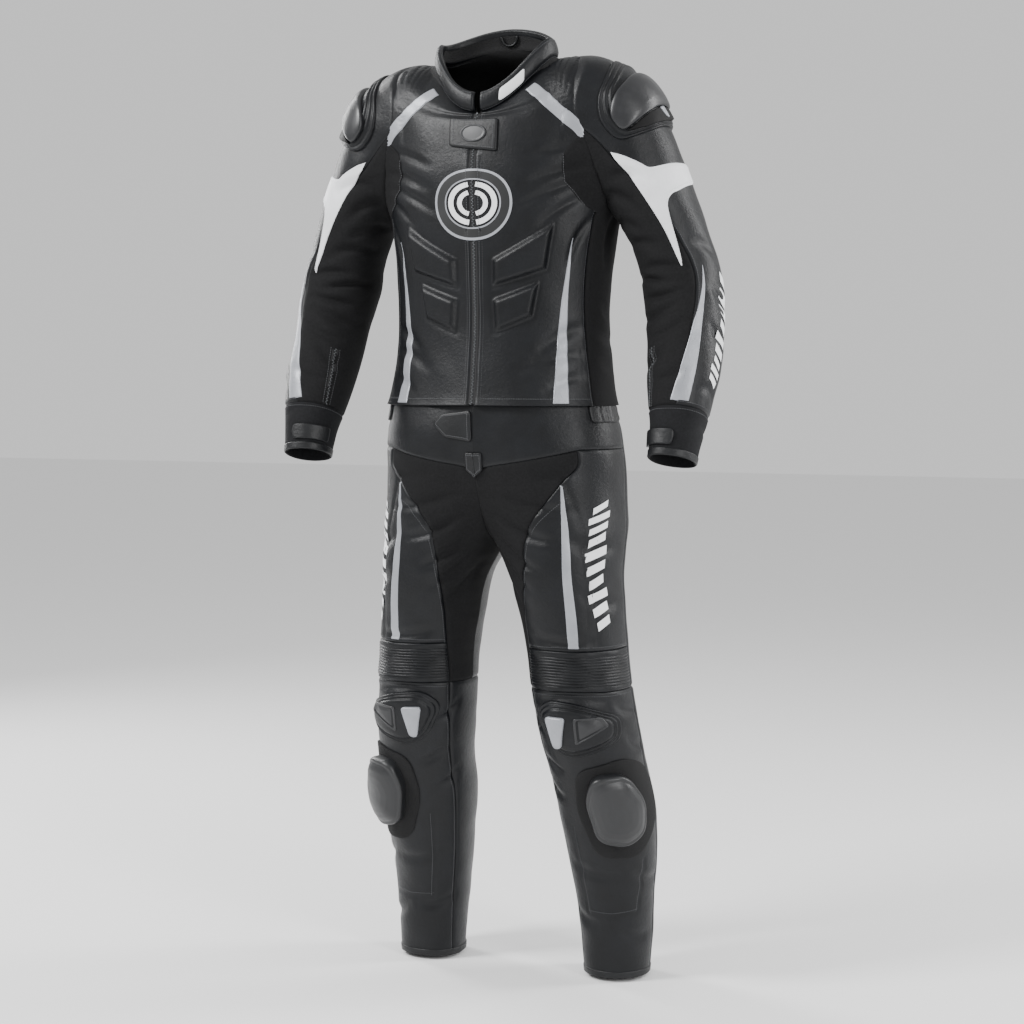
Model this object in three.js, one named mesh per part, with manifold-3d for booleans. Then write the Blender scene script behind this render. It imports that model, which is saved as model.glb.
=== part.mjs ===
// Two-piece motorcycle race suit, filled out as if worn, with nobody in it.
// Units are millimetres. +Z is up, the front faces -Y and the wearer's left is +X.
// The origin is the middle of the neck opening, where the wearer's neck carries the suit.
// Every cloth piece is a thin wall laid on one of three surfaces: the jacket body, a sleeve
// or a trouser leg. Each surface is worked out from a short table of cross-sections.

import * as THREE from "three";
import Module from "manifold-3d";

const wasm = await Module();
wasm.setup();

// Driving sizes
const SEAM = 0.3;
const WALL = 2;
const LAID = 0.6;
const COLLAR_WALL = 4.5;
const ZIP_HALF_WIDTH = 4;
const DEGREE = Math.PI / 180;

const HEM_OF_JACKET = -505;
const WAIST_OF_TROUSERS = -476;
const YOKE_BOTTOM = -600;
const YOKE_RISE = 30;
const YOKE_RISE_TURN = 69;
const YOKE_RISE_REACH = 110;
const PLEATS_TOP = -870;
const PLEATS_BOTTOM = -932;
const PLEATS = 14;
const PLEAT_HEIGHT = 1.6;
const CUFF_TOP = 500;
const SLEEVE_END = 572;

// Cross-sections of the jacket body, from the hem to the collar seam.
// wide, front and back are half-sizes, middle is the section's centre in Y, square is the
// roundness (2 is an ellipse), dip lowers the front and rise lifts the back of the section.
const JACKET_SECTIONS = [
  { z: -505, wide: 181, front: 116, back: 112, middle: 21, square: 2.2, dip: 0, rise: 0 },
  { z: -460, wide: 175, front: 111, back: 105, middle: 22, square: 2.2, dip: 0, rise: 0 },
  { z: -400, wide: 168, front: 107, back: 99, middle: 24, square: 2.2, dip: 0, rise: 0 },
  { z: -340, wide: 167, front: 109, back: 99, middle: 25, square: 2.2, dip: 0, rise: 0 },
  { z: -280, wide: 172, front: 115, back: 106, middle: 26, square: 2.2, dip: 0, rise: 0 },
  { z: -220, wide: 180, front: 120, back: 114, middle: 26, square: 2.2, dip: 0, rise: 0 },
  { z: -160, wide: 185, front: 121, back: 121, middle: 25, square: 2.2, dip: 4, rise: 0 },
  { z: -110, wide: 187, front: 114, back: 123, middle: 22, square: 2.2, dip: 16, rise: 2 },
  { z: -60, wide: 184, front: 104, back: 116, middle: 17, square: 2.2, dip: 38, rise: 8 },
  { z: -30, wide: 180, front: 95, back: 104, middle: 12, square: 2.2, dip: 54, rise: 14 },
  { z: -10, wide: 168, front: 85, back: 90, middle: 7, square: 2.2, dip: 67, rise: 16 },
  { z: 1, wide: 146, front: 81, back: 76, middle: 3, square: 2.2, dip: 75, rise: 17 },
  { z: 7, wide: 118, front: 77, back: 66, middle: 1, square: 2.1, dip: 80, rise: 19 },
  { z: 10, wide: 91, front: 73, back: 60, middle: 0, square: 2, dip: 82, rise: 22 },
];

// Cross-sections of the collar, from its seam to its rim.
const COLLAR_SECTIONS = [
  { z: 11, wide: 91, front: 73, back: 60, middle: 0, square: 2, dip: 82, rise: 22 },
  { z: 20, wide: 93, front: 76, back: 61, middle: -1, square: 2, dip: 83, rise: 24 },
  { z: 33, wide: 91, front: 74, back: 58, middle: -3, square: 2, dip: 82, rise: 26 },
  { z: 41, wide: 88, front: 70, back: 54, middle: -4, square: 2, dip: 83, rise: 26 },
];

// Cross-sections of the left trouser leg. apart is the distance of the leg's centre from the
// middle of the suit. Where wide is more than apart the legs join and are cut at the middle.
const LEG_SECTIONS = [
  { z: -476, apart: 0, wide: 173, front: 108, back: 103, middle: 22, square: 2.2 },
  { z: -514, apart: 0, wide: 178, front: 113, back: 109, middle: 21, square: 2.2 },
  { z: -545, apart: 26, wide: 158, front: 115, back: 117, middle: 23, square: 2.2 },
  { z: -600, apart: 50, wide: 138, front: 115, back: 126, middle: 28, square: 2.2 },
  { z: -650, apart: 70, wide: 119, front: 111, back: 126, middle: 30, square: 2.2 },
  { z: -690, apart: 86, wide: 106, front: 106, back: 118, middle: 28, square: 2.1 },
  { z: -720, apart: 96, wide: 95, front: 101, back: 108, middle: 24, square: 2.1 },
  { z: -760, apart: 106, wide: 84, front: 96, back: 98, middle: 20, square: 2.1 },
  { z: -820, apart: 116, wide: 79, front: 90, back: 90, middle: 22, square: 2.1 },
  { z: -880, apart: 124, wide: 75, front: 86, back: 86, middle: 24, square: 2.1 },
  { z: -941, apart: 131, wide: 74, front: 83, back: 83, middle: 26, square: 2.1 },
  { z: -1002, apart: 138, wide: 75, front: 79, back: 80, middle: 34, square: 2.1 },
  { z: -1063, apart: 145, wide: 74, front: 75, back: 80, middle: 52, square: 2.1 },
  { z: -1110, apart: 149, wide: 74, front: 74, back: 82, middle: 70, square: 2.1 },
  { z: -1155, apart: 152, wide: 72, front: 72, back: 80, middle: 82, square: 2.1 },
  { z: -1216, apart: 155, wide: 66, front: 66, back: 73, middle: 93, square: 2.1 },
  { z: -1277, apart: 157, wide: 59, front: 60, back: 65, middle: 100, square: 2.1 },
  { z: -1392, apart: 159, wide: 51, front: 51, back: 54, middle: 108, square: 2.1 },
];

// Cross-sections of the left sleeve, square to its path. along is the distance from its head.
const SLEEVE_SECTIONS = [
  { along: 0, x: 134, y: 22, z: -62, wide: 72, deep: 72 },
  { along: 44, x: 171, y: 24, z: -86, wide: 75, deep: 74 },
  { along: 98, x: 206, y: 26, z: -136, wide: 68, deep: 72 },
  { along: 164, x: 240, y: 28, z: -200, wide: 60, deep: 65 },
  { along: 231, x: 267, y: 32, z: -262, wide: 56, deep: 61 },
  { along: 297, x: 284, y: 34, z: -325, wide: 60, deep: 60 },
  { along: 365, x: 293, y: 18, z: -390, wide: 56, deep: 56 },
  { along: 440, x: 299, y: -8, z: -460, wide: 53, deep: 52 },
  { along: 504, x: 301, y: -30, z: -520, wide: 43, deep: 45 },
  { along: 553, x: 299, y: -46, z: -566, wide: 37, deep: 40 },
  { along: 573, x: 298, y: -52, z: -585, wide: 35, deep: 38 },
];

// Seam lines. turn is degrees round a section from its front, towards the outside.
const SIDE_SEAM = [
  { z: -505, turn: 67 },
  { z: -230, turn: 67 },
  { z: -150, turn: 88 },
  { z: 10, turn: 92 },
];
const BACK_SEAM = [
  { z: -505, turn: 118 },
  { z: -230, turn: 118 },
  { z: -150, turn: 98 },
  { z: 10, turn: 92 },
];
const CROTCH_SEAM = [
  { z: -600, turn: 48 },
  { z: -622, turn: 46 },
  { z: -640, turn: 31 },
  { z: -686, turn: 0 },
  { z: -742, turn: -20 },
  { z: -798, turn: -34 },
  { z: -870, turn: -46 },
  { z: -932, turn: -54 },
  { z: -1392, turn: -60 },
];
const SLEEVE_FRONT_SEAM = [
  { along: 0, turn: -20 },
  { along: 100, turn: -6 },
  { along: 164, turn: 12 },
  { along: 220, turn: 25 },
  { along: 270, turn: 36 },
  { along: 330, turn: 35 },
  { along: 400, turn: 26 },
  { along: 500, turn: 10 },
  { along: 573, turn: 10 },
];
const LEG_OUTER_SEAM = 100;
const SLEEVE_BACK_SEAM = 215;

// Stripes and bands that lie on a panel: their two edges at each height.
const SIDE_STRIPE = [
  { z: -502, from: 39, to: 49 },
  { z: -380, from: 45, to: 51 },
  { z: -258, from: 52, to: 53 },
];
const THIGH_STRIPE = [
  { z: -866, from: 12, to: 25 },
  { z: -740, from: 20, to: 29 },
  { z: -622, from: 31, to: 33 },
];
const FOREARM_STRIPE = [
  { along: 280, from: 52, to: 54 },
  { along: 340, from: 40, to: 49 },
  { along: 420, from: 20, to: 42 },
  { along: 494, from: -2, to: 34 },
];
const SHOULDER_STRIPE = [
  { z: 8, from: 40, to: 48 },
  { z: -14, from: 34, to: 42 },
  { z: -34, from: 34, to: 41 },
  { z: -70, from: 42, to: 52 },
  { z: -106, from: 54, to: 68 },
];

// Outlines of raised pieces, corner by corner.
const UPPER_ABDOMEN_PAD = [
  { turn: 8, z: -288 },
  { turn: 40, z: -236 },
  { turn: 37, z: -304 },
  { turn: 8, z: -329 },
];
const LOWER_ABDOMEN_PAD = [
  { turn: 8, z: -347 },
  { turn: 33, z: -321 },
  { turn: 29, z: -374 },
  { turn: 9, z: -397 },
];
const GUSSET = [
  { turn: 55, z: -96 },
  { turn: 74, z: -100 },
  { turn: 82, z: -160 },
  { turn: 74, z: -226 },
  { turn: 58, z: -212 },
  { turn: 44, z: -176 },
  { turn: 42, z: -128 },
];
const WHITE_PANEL = [
  { turn: -4, from: 92, to: 104 },
  { turn: 3, from: 101, to: 148 },
  { turn: 12, from: 113, to: 214 },
  { turn: 21, from: 125, to: 277 },
  { turn: 26, from: 132, to: 214 },
  { turn: 31, from: 135, to: 188 },
  { turn: 42, from: 137, to: 177 },
  { turn: 56, from: 138, to: 175 },
  { turn: 70, from: 139, to: 173 },
  { turn: 86, from: 140, to: 171 },
  { turn: 102, from: 140, to: 169 },
  { turn: 116, from: 142, to: 164 },
  { turn: 128, from: 144, to: 158 },
  { turn: 140, from: 147, to: 151 },
];
const SHOULDER_BASE = [
  { along: 30, turn: 16 },
  { along: 54, turn: 2 },
  { along: 88, turn: 8 },
  { along: 94, turn: 46 },
  { along: 92, turn: 92 },
  { along: 92, turn: 134 },
  { along: 66, turn: 160 },
  { along: 24, turn: 148 },
  { along: 10, turn: 84 },
];
const SHOULDER_SHELL = [
  { along: 42, turn: 30 },
  { along: 58, turn: 14 },
  { along: 77, turn: 18 },
  { along: 82, turn: 68 },
  { along: 80, turn: 112 },
  { along: 60, turn: 136 },
  { along: 38, turn: 120 },
  { along: 34, turn: 74 },
];
const KNEE_CUP = [
  { turn: -46, z: -966 },
  { turn: -22, z: -944 },
  { turn: 12, z: -948 },
  { turn: 66, z: -970 },
  { turn: 62, z: -1002 },
  { turn: 30, z: -1022 },
  { turn: -6, z: -1034 },
  { turn: -30, z: -1014 },
];
const KNEE_INSERT = [
  { turn: -20, z: -966 },
  { turn: 1, z: -967 },
  { turn: -8, z: -1013 },
  { turn: -16, z: -1014 },
];
const SLIDER_BASE = [
  { turn: -4, z: -1054 },
  { turn: 60, z: -1034 },
  { turn: 96, z: -1051 },
  { turn: 104, z: -1100 },
  { turn: 93, z: -1148 },
  { turn: 54, z: -1196 },
  { turn: 2, z: -1194 },
  { turn: -14, z: -1120 },
];
const SLIDER = [
  { turn: 2, z: -1096 },
  { turn: 14, z: -1058 },
  { turn: 52, z: -1056 },
  { turn: 67, z: -1100 },
  { turn: 60, z: -1152 },
  { turn: 38, z: -1172 },
  { turn: 8, z: -1162 },
];
// On the waist trim turn is the distance from the suit's middle, in millimetres.
const WAIST_STRAP = [
  { turn: -2, z: -558 },
  { turn: -2, z: -512 },
  { turn: -54, z: -518 },
  { turn: -68, z: -532 },
  { turn: -46, z: -552 },
];
const FLY_TAB = [
  { turn: -14, z: -574 },
  { turn: 14, z: -574 },
  { turn: 14, z: -600 },
  { turn: 0, z: -611 },
  { turn: -14, z: -600 },
];
const CUFF_STRAP = [
  { along: 535, from: -76, to: 10 },
  { along: 557, from: -76, to: 14 },
];

// Reading a table: a smooth curve through one of its columns.
function read(table, key, column, at) {
  const rows = table[0][key] < table[table.length - 1][key] ? table : [...table].reverse();
  const last = rows.length - 1;
  const place = Math.min(Math.max(at, rows[0][key]), rows[last][key]);
  let i = 0;
  while (i < last - 1 && place > rows[i + 1][key]) i += 1;
  const slope = (k) => {
    const before = rows[Math.max(k - 1, 0)];
    const after = rows[Math.min(k + 1, last)];
    return (after[column] - before[column]) / (after[key] - before[key]);
  };
  const span = rows[i + 1][key] - rows[i][key];
  const t = (place - rows[i][key]) / span;
  const start = rows[i][column];
  const end = rows[i + 1][column];
  const ease = t * t * (3 - 2 * t);
  const leave = t * (1 - t) * (1 - t) * span * slope(i);
  const arrive = t * t * (1 - t) * span * slope(i + 1);
  return start + (end - start) * ease + leave - arrive;
}

function readRow(table, key, at) {
  const row = {};
  for (const column of Object.keys(table[0])) row[column] = read(table, key, column, at);
  return row;
}

// A point on a rounded section: x across and y towards the back, both from its centre.
function onSection(turn, wide, front, back, square) {
  const sine = Math.sin(turn * DEGREE);
  const cosine = Math.cos(turn * DEGREE);
  const power = 2 / square;
  const x = Math.sign(sine) * Math.abs(sine) ** power * wide;
  const y = -Math.sign(cosine) * Math.abs(cosine) ** power * (cosine > 0 ? front : back);
  return { x, y };
}

function bodyPoint(table) {
  return (turn, z) => {
    const row = readRow(table, "z", z);
    const point = onSection(turn, row.wide, row.front, row.back, row.square);
    const cosine = Math.cos(turn * DEGREE);
    const tilt = cosine * cosine * (cosine > 0 ? -row.dip : row.rise);
    return new THREE.Vector3(point.x, row.middle + point.y, row.z + tilt);
  };
}

function legPoint(turn, z) {
  const row = readRow(LEG_SECTIONS, "z", z);
  const point = onSection(turn, row.wide, row.front, row.back, row.square);
  return new THREE.Vector3(row.apart + point.x, row.middle + point.y, row.z);
}

function sleeveCentre(along) {
  const row = readRow(SLEEVE_SECTIONS, "along", along);
  return new THREE.Vector3(row.x, row.y, row.z);
}

function sleevePoint(turn, along) {
  const row = readRow(SLEEVE_SECTIONS, "along", along);
  const ahead = sleeveCentre(Math.min(along + 4, SLEEVE_END));
  const path = ahead.sub(sleeveCentre(Math.min(along, SLEEVE_END - 4) - 4)).normalize();
  const side = new THREE.Vector3(0, -1, 0).cross(path).normalize();
  const front = path.clone().cross(side);
  const point = onSection(turn, row.wide, row.deep, row.deep, 2.1);
  const centre = new THREE.Vector3(row.x, row.y, row.z);
  return centre.addScaledVector(side, point.x).addScaledVector(front, -point.y);
}

// A surface gives the point at a turn and a height, moved out along its normal by lift.
function surfaceOf(pointAt) {
  return (turn, at, lift) => {
    const point = pointAt(turn, at);
    const round = pointAt(turn + 0.5, at).sub(pointAt(turn - 0.5, at));
    const up = pointAt(turn, at + 0.5).sub(pointAt(turn, at - 0.5));
    const normal = round.cross(up).normalize();
    return point.addScaledVector(normal, lift);
  };
}

const jacket = surfaceOf(bodyPoint(JACKET_SECTIONS));
const collarBand = surfaceOf(bodyPoint(COLLAR_SECTIONS));
const leg = surfaceOf(legPoint);
const sleeveUpward = surfaceOf(sleevePoint);
const sleeve = (turn, along, lift) => sleeveUpward(turn, along, -lift);

// The front and back limits of a leg, where it meets the middle of the suit or its inseam.
function inseamTurn(z) {
  const row = readRow(LEG_SECTIONS, "z", z);
  const share = Math.min(Math.max(row.apart / row.wide, 0), 1);
  return -Math.asin(share ** (row.square / 2)) / DEGREE;
}

// The yoke's lower edge climbs from the middle of the front to the side, so the heights of the
// trouser panels near it are moved up away from the inseam.
function yokeRise(turn, z) {
  const inseam = inseamTurn(z);
  const away = Math.min(turn - inseam, 180 - inseam - turn) / YOKE_RISE_TURN;
  const share = Math.min(Math.max(away, 0), 1);
  const near = Math.max(1 - Math.abs(z - YOKE_BOTTOM) / YOKE_RISE_REACH, 0);
  return YOKE_RISE * share * near * near * (3 - 2 * near);
}

function trouserLeg(turn, z, lift) {
  const point = leg(turn, z + yokeRise(turn, z), lift);
  point.x = Math.max(point.x, SEAM / 2);
  return point;
}

function turnAtWidth(z, width) {
  const row = readRow(JACKET_SECTIONS, "z", z);
  return Math.asin((width / row.wide) ** (row.square / 2)) / DEGREE;
}

// Meshes from grids of points
function solidFromGrid(grid, closedRound) {
  const positions = [];
  const indices = [];
  const layers = grid.length;
  const rows = grid[0].length;
  const columns = grid[0][0].length;
  const index = (layer, row, column) => (layer * rows + row) * columns + (column % columns);
  for (const layer of grid) for (const row of layer) for (const p of row) positions.push(p.x, p.y, p.z);
  const quad = (a, b, c, d) => indices.push(a, b, c, a, c, d);
  const steps = closedRound ? columns : columns - 1;
  const outside = layers - 1;
  for (let row = 0; row < rows - 1; row += 1) {
    for (let column = 0; column < steps; column += 1) {
      const next = column + 1;
      quad(index(outside, row, column), index(outside, row, next),
        index(outside, row + 1, next), index(outside, row + 1, column));
      quad(index(0, row, next), index(0, row, column),
        index(0, row + 1, column), index(0, row + 1, next));
    }
  }
  for (let column = 0; column < steps; column += 1) {
    const next = column + 1;
    const top = rows - 1;
    quad(index(0, 0, column), index(0, 0, next), index(outside, 0, next), index(outside, 0, column));
    quad(index(0, top, next), index(0, top, column),
      index(outside, top, column), index(outside, top, next));
  }
  if (!closedRound) {
    const end = columns - 1;
    for (let row = 0; row < rows - 1; row += 1) {
      quad(index(0, row + 1, 0), index(0, row, 0), index(outside, row, 0), index(outside, row + 1, 0));
      quad(index(0, row, end), index(0, row + 1, end),
        index(outside, row + 1, end), index(outside, row, end));
    }
  }
  return outwards(positions, indices);
}

// Turns a mesh inside out if its volume comes out negative.
function outwards(positions, indices) {
  const corner = (i) => new THREE.Vector3().fromArray(positions, indices[i] * 3);
  let volume = 0;
  for (let i = 0; i < indices.length; i += 3) volume += corner(i).dot(corner(i + 1).cross(corner(i + 2)));
  if (volume < 0) {
    for (let i = 0; i < indices.length; i += 3) {
      [indices[i], indices[i + 1]] = [indices[i + 1], indices[i]];
    }
  }
  return { positions, indices };
}

function spread(start, end, steps) {
  return Array.from({ length: steps + 1 }, (_, i) => start + ((end - start) * i) / steps);
}

// A wall over part of a surface. from and to give its edges in turn at each height.
function wall(surface, heights, from, to, columns, options = {}) {
  const { outer = 0, inner = -WALL, seam = SEAM / 2, relief = () => 0 } = options;
  const edge = (limit, at) => (typeof limit === "function" ? limit(at) : limit);
  const rows = [...heights];
  const rising = Math.sign(rows[rows.length - 1] - rows[0]);
  rows[0] += seam * rising;
  rows[rows.length - 1] -= seam * rising;
  const layer = (lift, raised) => rows.map((at, row) => {
    const start = edge(from, at);
    const end = edge(to, at);
    const inset = (turn) => seam / surface(turn - 0.5, at, 0).distanceTo(surface(turn + 0.5, at, 0));
    return spread(start + inset(start), end - inset(end), columns)
      .map((turn, column) => surface(turn, at, lift + (raised ? relief(row, column) : 0)));
  });
  return solidFromGrid([layer(inner, false), layer(outer, true)], false);
}

// A closed ring round a surface.
function ring(surface, heights, columns, outer, inner) {
  const turns = spread(0, 360, columns).slice(0, columns);
  const layer = (lift) => heights.map((at) => turns.map((turn) => surface(turn, at, lift)));
  return solidFromGrid([layer(inner), layer(outer)], true);
}

// A solid that fills a surface from end to end, to cut its neighbours with.
function filled(surface, heights, columns, lift) {
  const turns = spread(0, 360, columns).slice(0, columns);
  const positions = [];
  const indices = [];
  const rows = heights.map((at) => turns.map((turn) => surface(turn, at, lift)));
  for (const row of rows) for (const p of row) positions.push(p.x, p.y, p.z);
  const index = (row, column) => row * columns + (column % columns);
  for (let row = 0; row < rows.length - 1; row += 1) {
    for (let column = 0; column < columns; column += 1) {
      indices.push(index(row, column), index(row, column + 1), index(row + 1, column + 1));
      indices.push(index(row, column), index(row + 1, column + 1), index(row + 1, column));
    }
  }
  for (const row of [0, rows.length - 1]) {
    const centre = new THREE.Vector3();
    for (const p of rows[row]) centre.add(p);
    centre.divideScalar(columns);
    const middle = positions.length / 3;
    positions.push(centre.x, centre.y, centre.z);
    for (let column = 0; column < columns; column += 1) {
      const a = index(row, column);
      const b = index(row, column + 1);
      if (row === 0) indices.push(middle, b, a);
      else indices.push(middle, a, b);
    }
  }
  return outwards(positions, indices);
}

// Rings at one height, from the outline towards its middle.
function flat(lift, steps) {
  return Array.from({ length: steps }, (_, i) => ({ scale: 1 - i / steps, lift }));
}

// A raised piece on a surface. Its outline has rounded corners, and each ring in the list
// shrinks that outline towards its middle and lifts it.
function raised(surface, key, corners, options) {
  const { rounding = 0.3, steps = 2, pieces = 3, rings, under = LAID, underSteps = 2 } = options;
  const outline = [];
  const count = corners.length;
  const blend = (a, b, t) => ({ turn: a.turn + (b.turn - a.turn) * t, at: a[key] + (b[key] - a[key]) * t });
  const pair = (a, b, t) => ({ turn: a.turn + (b.turn - a.turn) * t, at: a.at + (b.at - a.at) * t });
  for (let i = 0; i < count; i += 1) {
    const corner = corners[i];
    const before = blend(corner, corners[(i + count - 1) % count], rounding);
    const after = blend(corner, corners[(i + 1) % count], rounding);
    const point = { turn: corner.turn, at: corner[key] };
    for (let step = 0; step <= steps; step += 1) {
      const t = step / steps;
      outline.push(pair(pair(before, point, t), pair(point, after, t), t));
    }
    const far = blend(corners[(i + 1) % count], corner, rounding);
    for (let piece = 1; piece < pieces; piece += 1) outline.push(pair(after, far, piece / pieces));
  }
  const middle = { turn: 0, at: 0 };
  for (const point of outline) {
    middle.turn += point.turn / outline.length;
    middle.at += point.at / outline.length;
  }
  const positions = [];
  const indices = [];
  const addRing = (scale, lift) => {
    for (const point of outline) {
      const p = pair(middle, point, scale);
      const place = surface(p.turn, p.at, lift);
      positions.push(place.x, place.y, place.z);
    }
  };
  const all = [...flat(under, underSteps).reverse(), ...rings];
  for (const { scale, lift } of all) addRing(scale, lift);
  const size = outline.length;
  for (let row = 0; row < all.length - 1; row += 1) {
    for (let i = 0; i < size; i += 1) {
      const next = (i + 1) % size;
      indices.push(row * size + i, row * size + next, (row + 1) * size + next);
      indices.push(row * size + i, (row + 1) * size + next, (row + 1) * size + i);
    }
  }
  const ends = [
    { row: 0, lift: under },
    { row: all.length - 1, lift: rings[rings.length - 1].lift },
  ];
  for (const { row, lift } of ends) {
    const place = surface(middle.turn, middle.at, lift);
    const centre = positions.length / 3;
    positions.push(place.x, place.y, place.z);
    for (let i = 0; i < size; i += 1) {
      const a = row * size + i;
      const b = row * size + ((i + 1) % size);
      if (row === 0) indices.push(centre, b, a);
      else indices.push(centre, a, b);
    }
  }
  return outwards(positions, indices);
}

// Solids for cutting and joining
function toSolid({ positions, indices }) {
  const mesh = new wasm.Mesh({
    numProp: 3,
    vertProperties: new Float32Array(positions),
    triVerts: new Uint32Array(indices),
  });
  return new wasm.Manifold(mesh);
}

function fromSolid(solid) {
  const mesh = solid.getMesh();
  return { positions: Array.from(mesh.vertProperties), indices: Array.from(mesh.triVerts) };
}

function cut(shape, ...cutters) {
  let solid = toSolid(shape);
  for (const cutter of cutters) solid = solid.subtract(cutter);
  return fromSolid(solid);
}

function mirrored({ positions, indices }) {
  const flipped = positions.map((value, i) => (i % 3 === 0 ? -value : value));
  return outwards(flipped, [...indices]);
}

// Materials
const finish = (color, roughness, metalness = 0) => ({ color, roughness, metalness });
const LEATHER = finish("#3c3f44", 0.5);
const STRETCH = finish("#161617", 0.9);
const SILVER = finish("#b9bdc2", 0.4, 0.2);
const WHITE = finish("#e6e8ea", 0.55);
const HARD = finish("#303236", 0.35);
const LOOP = finish("#0f0f10", 0.95);
const METAL = finish("#55575a", 0.4, 0.7);

const suit = new THREE.Group();

function add(name, shape, look) {
  const geometry = new THREE.BufferGeometry();
  geometry.setAttribute("position", new THREE.Float32BufferAttribute(shape.positions, 3));
  geometry.setIndex(shape.indices);
  geometry.computeVertexNormals();
  const mesh = new THREE.Mesh(geometry, new THREE.MeshStandardMaterial(look));
  mesh.name = name;
  suit.add(mesh);
}

function addPair(name, shape, look) {
  add(`${name}_left`, shape, look);
  add(`${name}_right`, mirrored(shape), look);
}

// Heights shared by the panels of one surface, so that their edges match at the seams
const JACKET_HEIGHTS = [
  -505, -450, -390, -330, -275, -230, -190, -150, -115, -80, -52, -30, -12, 1, 10,
];
const SLEEVE_HEIGHTS = [0, 40, 80, 115, 150, 190, 230, 264, 300, 340, 390, 445, 500];
const LEG_HEIGHTS = [
  -476, -514, -532, -560, -600, -632, -664, -696, -722, -752, -790, -830, -870, -932,
];
const SHIN_HEIGHTS = [-932, -974, -1016, -1058, -1100, -1142, -1190, -1250, -1315, -1392];

const part = (heights, low, high) => heights.filter((z) => z >= low && z <= high);
const lineOf = (table, key) => (at) => read(table, key, "turn", at);
const fromOf = (table, key) => (at) => read(table, key, "from", at);
const toOf = (table, key) => (at) => read(table, key, "to", at);

const jacketCutter = toSolid(filled(jacket, JACKET_HEIGHTS, 64, SEAM));
const sleeveCutter = toSolid(filled(sleeve, SLEEVE_HEIGHTS, 40, SEAM));
const sleeveCutterRight = toSolid(mirrored(filled(sleeve, SLEEVE_HEIGHTS, 40, SEAM)));

function makeJacket() {
  const sideSeam = lineOf(SIDE_SEAM, "z");
  const backSeam = lineOf(BACK_SEAM, "z");
  const zipEdge = (z) => turnAtWidth(z, ZIP_HALF_WIDTH);
  const front = wall(jacket, JACKET_HEIGHTS, zipEdge, sideSeam, 7);
  addPair("jacket_front", cut(front, sleeveCutter), LEATHER);
  const side = wall(jacket, part(JACKET_HEIGHTS, HEM_OF_JACKET, -180), sideSeam, backSeam, 5);
  addPair("side_panel", cut(side, sleeveCutter), STRETCH);
  const back = wall(jacket, JACKET_HEIGHTS, backSeam, (z) => 360 - backSeam(z), 10);
  add("jacket_back", cut(back, sleeveCutter, sleeveCutterRight), LEATHER);
  const zip = wall(jacket, spread(HEM_OF_JACKET, 10, 12), (z) => -zipEdge(z), zipEdge, 1,
    { outer: -0.4, inner: -1.6, seam: SEAM });
  add("centre_zip", zip, METAL);
  const stripe = wall(jacket, spread(-502, -258, 7), fromOf(SIDE_STRIPE, "z"), toOf(SIDE_STRIPE, "z"), 2,
    { outer: LAID + 1.2, inner: LAID + 0.2 });
  addPair("side_stripe", stripe, SILVER);
  const padRings = [
    { scale: 1, lift: 2 },
    { scale: 0.86, lift: 6.5 },
    { scale: 0.45, lift: 8 },
  ];
  const padLook = { rings: padRings, rounding: 0.2, steps: 1, under: 0.9 };
  addPair("abdomen_pad_upper", raised(jacket, "z", UPPER_ABDOMEN_PAD, padLook), LEATHER);
  addPair("abdomen_pad_lower", raised(jacket, "z", LOWER_ABDOMEN_PAD, padLook), LEATHER);
}

function makeShoulderTrim() {
  const stripe = wall(jacket, spread(-106, 8, 11), fromOf(SHOULDER_STRIPE, "z"),
    toOf(SHOULDER_STRIPE, "z"), 2, { outer: 2.5, inner: 1.5 });
  const gusset = raised(jacket, "z", GUSSET, { rings: flat(LAID + 1.2, 3), steps: 1, underSteps: 3, pieces: 2 });
  const gussetSolid = toSolid(gusset);
  addPair("shoulder_stripe", cut(stripe, sleeveCutter, gussetSolid), SILVER);
  addPair("armhole_gusset", cut(gusset, sleeveCutter), STRETCH);
}

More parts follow.
